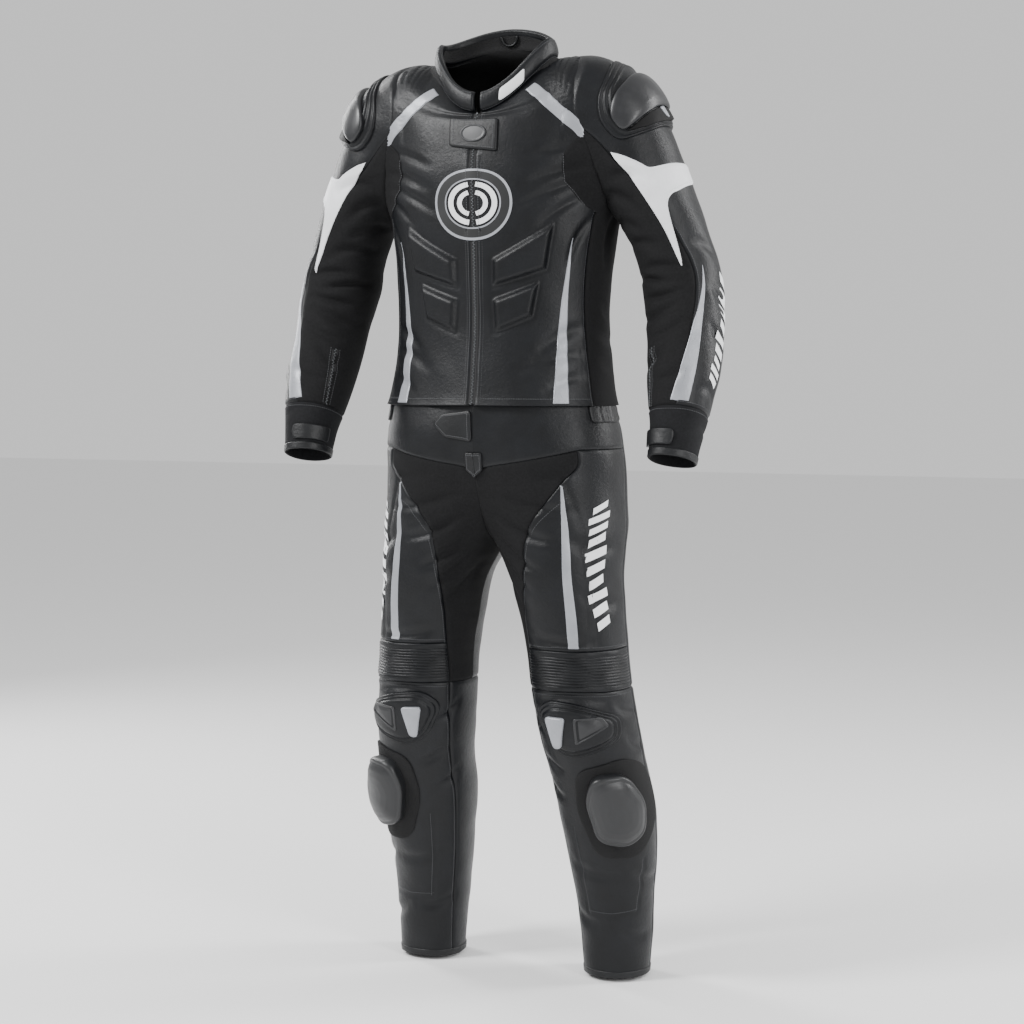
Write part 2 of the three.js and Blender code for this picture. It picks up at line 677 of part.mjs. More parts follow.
function makeSleeves() {
  const frontSeam = lineOf(SLEEVE_FRONT_SEAM, "along");
  const outer = wall(sleeve, SLEEVE_HEIGHTS, frontSeam, SLEEVE_BACK_SEAM, 8);
  addPair("sleeve_outer", cut(outer, jacketCutter), LEATHER);
  const inner = wall(sleeve, SLEEVE_HEIGHTS, SLEEVE_BACK_SEAM - 360, frontSeam, 7);
  addPair("sleeve_inner", cut(inner, jacketCutter), STRETCH);
  const sleeveAcross = (along, turn, lift) => sleeve(turn, along, lift);
  const white = wall(sleeveAcross, WHITE_PANEL.map((row) => row.turn), fromOf(WHITE_PANEL, "turn"),
    toOf(WHITE_PANEL, "turn"), 5, { outer: 2.6, inner: 1.4 });
  addPair("white_panel", cut(white, jacketCutter), WHITE);
  const stripe = wall(sleeve, spread(280, 494, 8), fromOf(FOREARM_STRIPE, "along"),
    toOf(FOREARM_STRIPE, "along"), 3, { outer: LAID + 1, inner: LAID });
  addPair("forearm_stripe", stripe, SILVER);
  const cuff = ring(sleeve, [CUFF_TOP + SEAM, 536, SLEEVE_END], 18, 0.6, -WALL);
  addPair("cuff", cuff, STRETCH);
  const strap = wall(sleeve, spread(535, 557, 2), fromOf(CUFF_STRAP, "along"),
    toOf(CUFF_STRAP, "along"), 12, { outer: LAID + 3, inner: LAID + 1 });
  addPair("cuff_strap", strap, LEATHER);
  const baseRings = [
    { scale: 1, lift: 3 },
    { scale: 0.95, lift: 7 },
    { scale: 0.9, lift: 4 },
    { scale: 0.6, lift: 6 },
    { scale: 0.3, lift: 6 },
  ];
  const base = raised(sleeve, "along", SHOULDER_BASE,
    { rings: baseRings, pieces: 2, steps: 1, under: 2.1, underSteps: 4, rounding: 0.25 });
  addPair("shoulder_base", cut(base, jacketCutter), LEATHER);
  const shellRings = [
    { scale: 1, lift: 11 },
    { scale: 0.9, lift: 15 },
    { scale: 0.5, lift: 17 },
  ];
  const shell = raised(sleeve, "along", SHOULDER_SHELL,
    { rings: shellRings, pieces: 2, steps: 1, under: 9.2, underSteps: 3 });
  addPair("shoulder_shell", cut(shell, jacketCutter), HARD);
}

function makeCollar() {
  const edge = 4;
  const collar = wall(collarBand, [11, 20, 33, 41], edge, 360 - edge, 22,
    { outer: -SEAM, inner: -COLLAR_WALL });
  add("collar", collar, LEATHER);
  const tab = raised(jacket, "z", [
    { turn: 10, z: -119 },
    { turn: 10, z: -33 },
    { turn: -11, z: -25 },
    { turn: -10, z: -104 },
  ], { rings: [{ scale: 1, lift: 3 }, { scale: 0.6, lift: 3.4 }], rounding: 0.06, steps: 1, pieces: 2, under: 1 });
  add("neck_tab", tab, LEATHER);
}

function makeTrousers() {
  const seam = lineOf(CROTCH_SEAM, "z");
  const yokeHeights = part(LEG_HEIGHTS, YOKE_BOTTOM, WAIST_OF_TROUSERS);
  addPair("hip_yoke", wall(trouserLeg, yokeHeights, inseamTurn, LEG_OUTER_SEAM, 7, { seam: SEAM }), LEATHER);
  const thighHeights = part(LEG_HEIGHTS, PLEATS_TOP, YOKE_BOTTOM);
  addPair("thigh_front", wall(trouserLeg, thighHeights, seam, LEG_OUTER_SEAM, 8), LEATHER);
  const legHeights = part(LEG_HEIGHTS, PLEATS_BOTTOM, YOKE_BOTTOM);
  addPair("crotch_panel", wall(trouserLeg, legHeights, inseamTurn, seam, 5), STRETCH);
  const seat = wall(trouserLeg, LEG_HEIGHTS, LEG_OUTER_SEAM, (z) => 180 - inseamTurn(z), 8);
  addPair("seat_back", seat, LEATHER);
  const pleatRows = spread(PLEATS_TOP, PLEATS_BOTTOM, PLEATS * 2);
  const pleats = wall(trouserLeg, pleatRows, seam, LEG_OUTER_SEAM, 4,
    { seam: 1, relief: (row) => (row % 2 === 1 ? PLEAT_HEIGHT : -0.4) });
  addPair("knee_pleats", pleats, LEATHER);
  addPair("shin_front", wall(trouserLeg, SHIN_HEIGHTS, seam, LEG_OUTER_SEAM, 7), LEATHER);
  addPair("calf_back", wall(trouserLeg, SHIN_HEIGHTS, LEG_OUTER_SEAM, (z) => 360 + seam(z), 7), LEATHER);
  const stripe = wall(leg, spread(-866, -622, 9), fromOf(THIGH_STRIPE, "z"), toOf(THIGH_STRIPE, "z"), 2,
    { outer: LAID + 1, inner: LAID });
  addPair("thigh_stripe", stripe, SILVER);
  const cupRings = [
    { scale: 1, lift: 3 },
    { scale: 0.93, lift: 7 },
    { scale: 0.86, lift: 5 },
    { scale: 0.5, lift: 10 },
  ];
  const cup = raised(leg, "z", KNEE_CUP, { rings: cupRings, pieces: 2, steps: 1, under: 1.5, underSteps: 4, rounding: 0.25 });
  addPair("knee_cup", cup, LEATHER);
  const insert = raised(leg, "z", KNEE_INSERT,
    { rings: [{ scale: 1, lift: 16 }, { scale: 0.8, lift: 18 }], pieces: 2, steps: 1, under: 10.6 });
  addPair("knee_insert", insert, SILVER);
  const base = raised(leg, "z", SLIDER_BASE,
    { rings: flat(4.4, 4), pieces: 2, steps: 1, under: 3.1, underSteps: 4 });
  addPair("slider_base", base, LOOP);
  const sliderRings = [
    { scale: 1, lift: 18 },
    { scale: 0.85, lift: 27 },
    { scale: 0.45, lift: 31 },
  ];
  const slider = raised(leg, "z", SLIDER, { rings: sliderRings, pieces: 2, steps: 1, under: 5.6, underSteps: 3 });
  addPair("knee_slider", slider, HARD);
}

// The middle of the front, across both legs: x is the distance from the suit's middle.
function hips(x, z, lift) {
  const row = readRow(LEG_SECTIONS, "z", z);
  const share = (Math.abs(x) - row.apart) / row.wide;
  const turn = (Math.sign(share) * Math.asin(Math.abs(share) ** (row.square / 2))) / DEGREE;
  const point = leg(turn, z, lift);
  point.x = Math.max(point.x, 0);
  return x < 0 ? point.setX(-point.x) : point;
}

function makeWaistTrim() {
  const trimRings = [
    { scale: 1, lift: 3.4 },
    { scale: 0.6, lift: 3.4 },
  ];
  const trimLook = { rings: trimRings, rounding: 0.15, steps: 1, pieces: 2, under: 1 };
  add("waist_strap", raised(hips, "z", WAIST_STRAP, trimLook), LEATHER);
  add("fly_tab", raised(hips, "z", FLY_TAB, trimLook), LEATHER);
}

makeJacket();
makeShoulderTrim();
makeSleeves();
makeCollar();
makeTrousers();
makeWaistTrim();

export default suit;
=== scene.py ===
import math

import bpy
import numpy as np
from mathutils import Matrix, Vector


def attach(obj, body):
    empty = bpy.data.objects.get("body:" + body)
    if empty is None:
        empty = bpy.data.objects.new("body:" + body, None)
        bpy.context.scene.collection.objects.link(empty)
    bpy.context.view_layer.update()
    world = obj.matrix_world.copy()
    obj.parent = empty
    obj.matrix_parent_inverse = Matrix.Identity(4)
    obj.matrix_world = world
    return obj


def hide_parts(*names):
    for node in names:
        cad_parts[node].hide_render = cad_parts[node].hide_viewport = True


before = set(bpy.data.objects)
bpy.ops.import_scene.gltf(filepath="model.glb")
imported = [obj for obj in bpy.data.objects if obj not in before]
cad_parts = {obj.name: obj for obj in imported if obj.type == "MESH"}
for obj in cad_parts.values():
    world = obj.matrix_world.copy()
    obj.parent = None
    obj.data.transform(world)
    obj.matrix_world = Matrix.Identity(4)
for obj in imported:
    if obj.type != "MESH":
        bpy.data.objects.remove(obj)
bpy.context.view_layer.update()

# A two-piece motorcycle race suit, filled out as if worn, with nobody in it.
# Sizes are in millimetres until a mesh is made. Each cloth piece is a panel of one of four
# surfaces: the jacket body, the collar, a sleeve or a trouser leg. turn is degrees round a
# section from its front, at is the height, or on a sleeve the distance from its head.
# side is 1 for the wearer's left and -1 for the wearer's right.

MM = 0.001
LEFT, RIGHT = 1, -1
SIDES = {"left": LEFT, "right": RIGHT}
MIDDLE = ""

LEATHER_THICKNESS = 1.3
SEAM_DEPTH = 1.5
SEAM_WIDTH = 2.4
SWELL_HEIGHT = 0.5
SWELL_FROM_SEAM = 7
LAID_EDGE_WIDTH = 1.3
LAID_EDGE_DEPTH = 0.4
STITCH_PITCH = 3.6
STITCH_LENGTH = 2.7
STITCH_WIDTH = 0.85
STITCH_FACES = [(1, 5, 7, 3), (3, 7, 6, 2), (0, 1, 3, 2), (5, 4, 6, 7)]
ZIP_HALF_WIDTH = 4
ZIP_PITCH = 2.6

# Millimetres round the jacket's front for one degree of turn, at the round print and on the whole
CHEST_PER_DEGREE = 3.05
FRONT_PER_DEGREE = 2.95

# Heights of the main edges and seams. On a sleeve they are distances from its head.
HEM_OF_JACKET = -505
NECK_OF_JACKET = 10
WAIST_OF_TROUSERS = -476
YOKE_BOTTOM = -600
YOKE_RISE = 30
YOKE_RISE_TURN = 69
YOKE_RISE_REACH = 110
PLEATS_TOP = -870
PLEATS_BOTTOM = -932
PLEATS = 14
TROUSER_HEM = -1392
CUFF_TOP = 500
SLEEVE_END = 572
SLEEVE_HEAD = -44
BELOW_NECK_TAB = -121
SIDE_PANEL_TOP = -180
INSIDE_SLEEVE_HEAD = 156
BINDING_HEIGHT = 11

# How far a sleeve's leather goes on inside the jacket, and the jacket's inside a sleeve
SLEEVE_KEPT_INSIDE = 14
JACKET_KEPT_INSIDE = 5

# Jacket and sleeve meet in a hollow curve of this width, down to this height.
FILLET = 34.0
LOWEST_MEETING = -300

# The round print on the chest
ROUNDEL_HEIGHT = -206
ROUNDEL_RADIUS = 55

# Printed bars: their share of the room that each has, and their widths in turn
BAR_SHARE = 0.62
BAR_WIDTHS = (0.72, 1.0, 0.86)

# The least share of its width times its length that a cut piece's worked-out area is raised to
LEAST_AREA_SHARE = 0.31

# Camera, in degrees and metres, and the point that the lights face
CAMERA_AZIMUTH = 23
CAMERA_ELEVATION = 4
CAMERA_DISTANCE = 3.2
CAMERA_TARGET = (0.020, 0.0085, -0.669)
CAMERA_LENS = 73.5
CHEST = (0, 0, -0.5)


# Tables

def table(columns, rows):
    """Rows of numbers as named columns, sorted by the first column."""
    names = columns.split()
    ordered = np.array(sorted(rows), dtype=float)
    return {"key": names[0], **dict(zip(names, ordered.T))}


JACKET_SECTIONS = table("z wide front back middle square dip rise", [
    (-505, 181, 116, 112, 21, 2.2, 0, 0),
    (-460, 175, 111, 105, 22, 2.2, 0, 0),
    (-400, 168, 107, 99, 24, 2.2, 0, 0),
    (-340, 167, 109, 99, 25, 2.2, 0, 0),
    (-280, 172, 115, 106, 26, 2.2, 0, 0),
    (-220, 180, 120, 114, 26, 2.2, 0, 0),
    (-160, 185, 121, 121, 25, 2.2, 4, 0),
    (-110, 187, 114, 123, 22, 2.2, 16, 2),
    (-60, 184, 104, 116, 17, 2.2, 38, 8),
    (-30, 180, 95, 104, 12, 2.2, 54, 14),
    (-10, 168, 85, 90, 7, 2.2, 67, 16),
    (1, 146, 81, 76, 3, 2.2, 75, 17),
    (7, 118, 77, 66, 1, 2.1, 80, 19),
    (10, 91, 73, 60, 0, 2, 82, 22),
])
COLLAR_SECTIONS = table("z wide front back middle square dip rise", [
    (11, 91, 73, 60, 0, 2, 82, 22),
    (20, 93, 76, 61, -1, 2, 83, 24),
    (33, 91, 74, 58, -3, 2, 82, 26),
    (41, 88, 70, 54, -4, 2, 83, 26),
])
LEG_SECTIONS = table("z apart wide front back middle square", [
    (-476, 0, 173, 108, 103, 22, 2.2),
    (-514, 0, 178, 113, 109, 21, 2.2),
    (-545, 26, 158, 115, 117, 23, 2.2),
    (-600, 50, 138, 115, 126, 28, 2.2),
    (-650, 70, 119, 111, 126, 30, 2.2),
    (-690, 86, 106, 106, 118, 28, 2.1),
    (-720, 96, 95, 101, 108, 24, 2.1),
    (-760, 106, 84, 96, 98, 20, 2.1),
    (-820, 116, 79, 90, 90, 22, 2.1),
    (-880, 124, 75, 86, 86, 24, 2.1),
    (-941, 131, 74, 83, 83, 26, 2.1),
    (-1002, 138, 75, 79, 80, 34, 2.1),
    (-1063, 145, 74, 75, 80, 52, 2.1),
    (-1110, 149, 74, 74, 82, 70, 2.1),
    (-1155, 152, 72, 72, 80, 82, 2.1),
    (-1216, 155, 66, 66, 73, 93, 2.1),
    (-1277, 157, 59, 60, 65, 100, 2.1),
    (-1392, 159, 51, 51, 54, 108, 2.1),
])
SLEEVE_SECTIONS = table("along x y z wide deep", [
    (-44, 98, 20, -66, 44, 50),
    (0, 134, 22, -62, 72, 72),
    (44, 171, 24, -86, 75, 74),
    (98, 206, 26, -136, 68, 72),
    (164, 240, 28, -200, 60, 65),
    (231, 267, 32, -262, 56, 61),
    (297, 284, 34, -325, 60, 60),
    (365, 293, 18, -390, 56, 56),
    (440, 299, -8, -460, 53, 52),
    (504, 301, -30, -520, 43, 45),
    (553, 299, -46, -566, 37, 40),
    (573, 298, -52, -585, 35, 38),
])
SLEEVE_SQUARE = 2.1

# Seams, as the turn at each height
SIDE_SEAM = table("z turn", [(-505, 67), (-230, 67), (-150, 88), (10, 92)])
BACK_SEAM = table("z turn", [(-505, 118), (-230, 118), (-150, 98), (10, 92)])
CROTCH_SEAM = table("z turn", [
    (-600, 48), (-622, 46), (-640, 31), (-686, 0), (-742, -20), (-798, -34), (-870, -46), (-932, -54),
    (-1392, -60),
])
SLEEVE_FRONT_SEAM = table("along turn", [
    (0, -20), (100, -6), (164, 12), (220, 25), (270, 36), (330, 35), (400, 26), (500, 10), (573, 10),
])
LEG_OUTER_SEAM = 100
SLEEVE_BACK_SEAM = 215

# Stripes, as the turns of their two edges at each height
SIDE_STRIPE = table("z start end", [(-502, 39, 49), (-380, 45, 51), (-258, 52, 53)])
THIGH_STRIPE = table("z start end", [(-866, 12, 25), (-740, 20, 29), (-622, 31, 33)])
FOREARM_STRIPE = table("along start end", [(280, 52, 54), (340, 40, 49), (420, 20, 42), (494, -2, 34)])
SHOULDER_STRIPE = table("z start end", [
    (8, 38.5, 47), (3, 34, 42.5), (-1, 33, 40.6), (-6, 32, 40), (-16, 31.8, 39.5), (-28, 33, 41),
    (-40, 35, 43), (-50, 37, 45.6), (-60, 39.3, 48.5), (-78, 44, 54), (-93, 49, 60.5), (-107, 53, 67.5),
])
WHITE_PANEL = table("turn start end", [
    (-4, 92, 104), (3, 101, 148), (12, 113, 214), (21, 125, 277), (26, 132, 214), (31, 135, 188),
    (42, 137, 177), (56, 138, 175), (70, 139, 173), (86, 140, 171), (102, 140, 169), (116, 142, 164),
    (128, 144, 158), (140, 147, 151),
])

# Outlines of pieces and of embossed forms, corner by corner, as turn and height
UPPER_ABDOMEN_PAD = [(8, -288), (40, -236), (37, -304), (8, -329)]
LOWER_ABDOMEN_PAD = [(8, -347), (33, -321), (29, -374), (9, -397)]
GUSSET = [(55, -96), (74, -100), (82, -160), (74, -226), (58, -212), (44, -176), (42, -128)]
SHOULDER_BASE = [(16, 30), (2, 54), (8, 88), (46, 94), (92, 92), (134, 92), (160, 66), (148, 24), (84, 10)]
SHOULDER_SHELL = [
    (30, 42), (15, 56), (17, 76), (23, 81), (54, 74), (80, 70), (112, 72), (134, 58), (120, 38), (74, 34),
]
SHOULDER_VENT = [(23, 83), (54, 75), (80, 71), (112, 73), (118, 80), (96, 86), (72, 88), (46, 88)]
SHOULDER_VENT_TIP = [(74, 72), (82, 71), (84, 85), (79, 82)]
KNEE_CUP = [
    (-46, -966), (-22, -944), (12, -948), (66, -970), (62, -1002), (30, -1022), (-6, -1034), (-30, -1014),
]
KNEE_INSERT = [(-20, -966), (1, -967), (-8, -1013), (-16, -1014)]
KNEE_FACET = [(8, -968), (38, -966), (45, -980), (6, -1008)]
SLIDER_BASE = [
    (-4, -1054), (60, -1034), (96, -1051), (104, -1100), (93, -1148), (54, -1196), (2, -1194), (-14, -1120),
]
SLIDER = [(2, -1096), (14, -1058), (52, -1056), (67, -1100), (60, -1152), (38, -1172), (8, -1162)]
NECK_TAB = [(10, -119), (10, -33), (-11, -25), (-10, -104)]
SIDE_ADJUSTER = [(64, -504), (98, -504), (101, -517), (98, -530), (64, -530)]
# On these two the first number is the distance from the suit's middle.
WAIST_STRAP = [(-2, -558), (-2, -512), (-54, -518), (-68, -532), (-46, -552)]
FLY_TAB = [(-14, -574), (14, -574), (14, -600), (0, -611), (-14, -600)]
CUFF_STRAP = [(-76, 535), (10, 535), (14, 546), (10, 557), (-76, 557)]

# The collar's section as heights and lifts, up its outside and down its inside
COLLAR_PROFILE = [
    (9, -1.2), (11, 1.4), (15, 3.2), (20, 3.8), (27, 3.6), (33, 3.2), (38, 2.4), (41, 0.6), (42, -2),
    (41, -5), (36, -7.4), (28, -8), (18, -8), (10, -7),
]

# Middle lines of the printed bars
FOREARM_BARS = [(98, 292), (96, 360), (84, 420), (76, 462)]
THIGH_BARS = [(64, -648), (56, -700), (54, -770), (58, -838)]

# Seams inside a panel
SHIN_SEAM = [(-26, -1150), (-27, -1222), (-24, -1290), (14, -1292), (56, -1286), (62, -1236), (66, -1200)]
THIGH_SEAM = [(34, -612), (44, -700), (46, -780), (38, -866)]

# Creases: short bowed lines. own is the side that has it, 0 for both. Troughs have a negative
# depth, and each fades out at its two ends.
# Each row is own, turn, at, turn at its end, at there, bow, width and depth.
JACKET_CREASES = [
    (0, 62, -150, 24, -178, 6, 9, -2.6),
    (0, 58, -172, 20, -214, 5, 8, -2.2),
    (0, 60, -196, 30, -246, 7, 8, -2.4),
    (1, 50, -122, 26, -132, 5, 9, -2.0),
    (-1, 52, -118, 22, -142, 6, 9, -2.2),
    (0, 66, -226, 50, -300, 8, 9, -2.4),
    (0, 92, -200, 84, -300, 9, 10, -3.2),
    (0, 106, -210, 112, -320, -9, 10, -3.0),
    (0, 64, -388, 30, -430, 8, 11, -2.6),
    (1, 60, -430, 22, -452, 7, 10, -2.2),
    (-1, 62, -420, 26, -448, 7, 10, -2.4),
    (0, 60, -462, 36, -482, 5, 9, -1.8),
    (0, 84, -356, 98, -372, 4, 9, -2.6),
    (0, 76, -398, 108, -410, 5, 9, -3.0),
    (0, 78, -438, 104, -450, 5, 9, -2.6),
    (0, 124, -180, 152, -230, 10, 12, -2.8),
    (0, 122, -240, 158, -300, 10, 12, -2.4),
    (0, 120, -330, 160, -372, 9, 12, -3.0),
    (0, 124, -384, 166, -420, 9, 12, -3.4),
    (0, 126, -436, 162, -462, 8, 11, -2.6),
    (0, 170, -380, 188, -386, 4, 12, -2.6),
    (0, 140, -60, 158, -150, 8, 12, -1.8),
]
SLEEVE_CREASES = [
    (0, -30, 120, 20, 150, 8, 9, -3.2),
    (0, -60, 130, -10, 176, 9, 9, -3.4),
    (0, -80, 168, -20, 206, 8, 9, -3.0),
    (0, -70, 214, 4, 244, 9, 9, -3.4),
    (0, -40, 262, 24, 282, 7, 8, -3.4),
    (0, -72, 276, -4, 306, 8, 8, -4.2),
    (0, -60, 318, 14, 324, -7, 8, -4.0),
    (0, -76, 352, 6, 346, -9, 9, -3.6),
    (0, -50, 392, 20, 372, -8, 9, -2.6),
    (0, -70, 432, -8, 410, -7, 9, -2.6),
    (0, -40, 462, 24, 446, -6, 8, -2.0),
    (0, 40, 246, 88, 268, 8, 10, -2.0),
    (0, 64, 316, 110, 334, -8, 10, -2.2),
    (1, 60, 372, 96, 386, -7, 10, -1.8),
    (-1, 52, 360, 92, 352, 7, 10, -1.8),
    (0, 150, 150, 200, 190, 8, 11, -2.6),
    (0, 160, 330, 210, 350, 8, 11, -2.4),
    (0, 140, 420, 190, 410, 8, 11, -2.0),
    (0, 190, 240, 236, 256, 8, 10, -2.6),
    (0, 56, 470, 100, 478, 5, 9, -1.6),
    (0, -30, 510, 30, 514, 4, 7, -1.4),
    (0, 70, 522, 130, 526, 4, 7, -1.4),
]
LEG_CREASES = [
    (0, -12, -640, 34, -660, 6, 9, -2.6),
    (0, -24, -672, 14, -706, 7, 9, -3.2),
    (0, -40, -704, -8, -748, 7, 9, -3.4),
    (0, -56, -724, -22, -778, 7, 9, -3.2),
    (0, -70, -748, -36, -806, 7, 9, -3.0),
    (0, 10, -612, 40, -604, 5, 10, -1.8),
    (0, 26, -700, 78, -716, 8, 12, -2.0),
    (1, 34, -782, 84, -800, 8, 12, -1.8),
    (-1, 30, -760, 80, -782, 8, 12, -2.0),
    (0, -30, -846, 40, -856, 7, 9, -2.4),
    (0, -40, -948, 46, -944, -6, 8, -3.4),
    (0, -66, -962, -34, -996, 6, 8, -2.6),
    (0, 60, -944, 96, -968, 6, 9, -2.4),
    (0, 72, -1000, 100, -1024, 6, 9, -2.4),
    (0, -50, -1040, -16, -1060, 5, 9, -2.6),
    (0, -66, -1076, -28, -1104, 6, 9, -2.4),
    (0, -40, -1210, 26, -1226, 8, 11, -2.0),
    (0, 44, -1216, 100, -1236, 8, 11, -2.2),
    (0, -60, -1288, 0, -1304, 7, 11, -2.2),
    (0, 20, -1310, 84, -1326, 7, 11, -2.0),
    (0, 120, -700, 168, -716, 8, 12, -4.0),
    (0, 130, -752, 200, -772, 9, 12, -3.0),
    (0, 126, -826, 196, -840, 9, 12, -2.4),
    (0, 120, -930, 214, -938, 9, 11, -4.4),
    (0, 128, -972, 220, -982, 9, 11, -5.0),
    (0, 120, -1016, 212, -1024, 9, 11, -4.6),
    (0, 130, -1062, 218, -1070, 9, 12, -3.4),
    (0, 140, -1180, 204, -1196, 9, 13, -2.4),
    (0, 130, -1290, 200, -1302, 8, 12, -2.4),
    (0, 118, -546, 150, -560, 7, 12, -2.4),
]


def read(rows, column, at):
    """A smooth curve through one column of a table, at the places given."""
    key = rows[rows["key"]]
    value = rows[column]
    place = np.clip(np.asarray(at, dtype=float), key[0], key[-1])
    before = np.concatenate([value[:1], value[:-1]])
    after = np.concatenate([value[1:], value[-1:]])
    key_before = np.concatenate([key[:1], key[:-1]])
    key_after = np.concatenate([key[1:], key[-1:]])
    slope = (after - before) / (key_after - key_before)
    i = np.clip(np.searchsorted(key, place) - 1, 0, len(key) - 2)
    span = key[i + 1] - key[i]
    t = (place - key[i]) / span
    ease = t * t * (3 - 2 * t)
    leave = t * (1 - t) ** 2 * span * slope[i]
    arrive = t * t * (1 - t) * span * slope[i + 1]
    return value[i] + (value[i + 1] - value[i]) * ease + leave - arrive


# Surfaces

def on_section(turn, wide, front, back, square):
    """A point on a rounded section: x across and y towards the back, from its centre."""
    sine = np.sin(np.radians(turn))
    cosine = np.cos(np.radians(turn))
    power = 2 / square
    x = np.sign(sine) * np.abs(sine) ** power * wide
    y = -np.sign(cosine) * np.abs(cosine) ** power * np.where(cosine > 0, front, back)
    return x, y


def body_point(rows):
    def point(turn, at):
        wide, front, back, square = (read(rows, name, at) for name in ("wide", "front", "back", "square"))
        x, y = on_section(turn, wide, front, back, square)
        cosine = np.cos(np.radians(turn))
        tilt = cosine ** 2 * np.where(cosine > 0, -read(rows, "dip", at), read(rows, "rise", at))
        return np.stack([x, read(rows, "middle", at) + y, read(rows, "z", at) + tilt], -1)
    return point


def leg_point(turn, at):
    apart, wide, front, back, middle, square, z = (
        read(LEG_SECTIONS, name, at) for name in ("apart", "wide", "front", "back", "middle", "square", "z")
    )
    x, y = on_section(turn, wide, front, back, square)
    return np.stack([apart + x, middle + y, z + 0 * x], -1)


def sleeve_centre(at):
    return np.stack([read(SLEEVE_SECTIONS, name, at) for name in "xyz"], -1)


def unit(vectors):
    return vectors / np.maximum(np.linalg.norm(vectors, axis=-1, keepdims=True), 1e-9)


def sleeve_frame(at):
    """The directions along a sleeve's path, to its outside and to its front."""
    ahead = sleeve_centre(np.minimum(at + 4, SLEEVE_END))
    path = unit(ahead - sleeve_centre(np.minimum(at, SLEEVE_END - 4) - 4))
    outside = unit(np.cross(np.array([0.0, -1.0, 0.0]), path))
    return path, outside, np.cross(path, outside)


def sleeve_point(turn, at):
    _, outside, front = sleeve_frame(at)
    deep = read(SLEEVE_SECTIONS, "deep", at)
    x, y = on_section(turn, read(SLEEVE_SECTIONS, "wide", at), deep, deep, SLEEVE_SQUARE)
    return sleeve_centre(at) + outside * x[..., None] - front * y[..., None]


def wrap(turn):
    """The same turn, from -180 to 180 degrees."""
    return (np.asarray(turn, dtype=float) + 180) % 360 - 180


def distance_to_jacket(points):
    """How far points lie outside the jacket body, in millimetres. Inside is negative."""
    x, y, z = np.moveaxis(points, -1, 0)
    at = z
    for _ in range(3):
        across = y - read(JACKET_SECTIONS, "middle", at)
        cosine = -across / np.maximum(np.hypot(x, across), 1e-6)
        tilt = np.where(cosine > 0, read(JACKET_SECTIONS, "dip", at), -read(JACKET_SECTIONS, "rise", at))
        at = z + cosine ** 2 * tilt

    def ratio(height):
        wide, front, back, square = (
            read(JACKET_SECTIONS, name, height) for name in ("wide", "front", "back", "square")
        )
        share = np.abs(x / wide) ** square + np.abs(across / np.where(across > 0, back, front)) ** square
        return np.maximum(share, 1e-6) ** (1 / square)

    radius = np.hypot(x, across)
    reach = radius / ratio(at)
    slope = (radius / ratio(at + 2) - radius / ratio(at - 2)) / 4
    return (radius - reach) / np.sqrt(1 + slope ** 2)


SLEEVE_STEPS = np.arange(SLEEVE_HEAD, SLEEVE_END, 6.0)


def distance_to_sleeve(points):
    """How far points lie outside the left sleeve, in millimetres."""
    centres = sleeve_centre(SLEEVE_STEPS)
    flat = points.reshape(-1, 3)
    squared = ((flat[:, None, :] - centres[None]) ** 2).sum(-1)
    at = SLEEVE_STEPS[np.argmin(squared, axis=1)].reshape(points.shape[:-1])
    path, outside, front = sleeve_frame(at)
    away = points - sleeve_centre(at)
    x, y, along = (away * outside).sum(-1), (away * front).sum(-1), (away * path).sum(-1)
    beyond = np.where(at < SLEEVE_HEAD + 3, np.minimum(along, 0), 0)
    wide, deep = read(SLEEVE_SECTIONS, "wide", at), read(SLEEVE_SECTIONS, "deep", at)
    ratio = (np.abs(x / wide) ** SLEEVE_SQUARE + np.abs(y / deep) ** SLEEVE_SQUARE) ** (1 / SLEEVE_SQUARE)
    radius = np.hypot(x, y)
    outward = radius - radius / np.maximum(ratio, 1e-6)
    return np.where(beyond < 0, np.hypot(np.maximum(outward, 0), beyond), outward)


def gradient(distance, points):
    steps = np.eye(3) * 2.0
    return unit(np.stack([distance(points + s) - distance(points - s) for s in steps], -1))


class Surface:
    """A rounded surface, with the forms and creases that the leather has on it.

    point gives its points in millimetres, and per_degree is the usual length of a degree of turn.
    outward is -1 where its turns run the other way. neighbour is the distance to the surface that
    it meets. halves says that each side stops at the suit's middle.
    """

    def __init__(self, point, per_degree, outward=1, neighbour=None, halves=False):
        self.point = point
        self.per_degree = per_degree
        self.outward = outward
        self.neighbour = neighbour
        self.halves = halves
        self.forms = []

    def normal(self, turn, at):
        across = self.point(turn + 0.5, at) - self.point(turn - 0.5, at)
        up = self.point(turn, at + 0.5) - self.point(turn, at - 0.5)
        return self.outward * unit(np.cross(across, up))

    def relief(self, side, turn, at):
        total = np.zeros(np.shape(turn))
        for form in self.forms:
            total = total + form(side, turn, at)
        return total

    def place(self, side, turn, at, lift=0.0, plain=False):
        """Points in metres at a turn and height, moved out by lift millimetres."""
        turn, at, lift = np.broadcast_arrays(*(np.asarray(value, float) for value in (turn, at, lift)))
        normal = self.normal(turn, at)
        if not plain:
            lift = lift + self.relief(side, turn, at)
        points = self.point(turn, at) + normal * lift[..., None]
        if self.neighbour is not None:
            points = blended(points, normal, self.neighbour)
        if self.halves:
            points[..., 0] = np.maximum(points[..., 0], 0)
        points[..., 0] *= side
        return points * MM


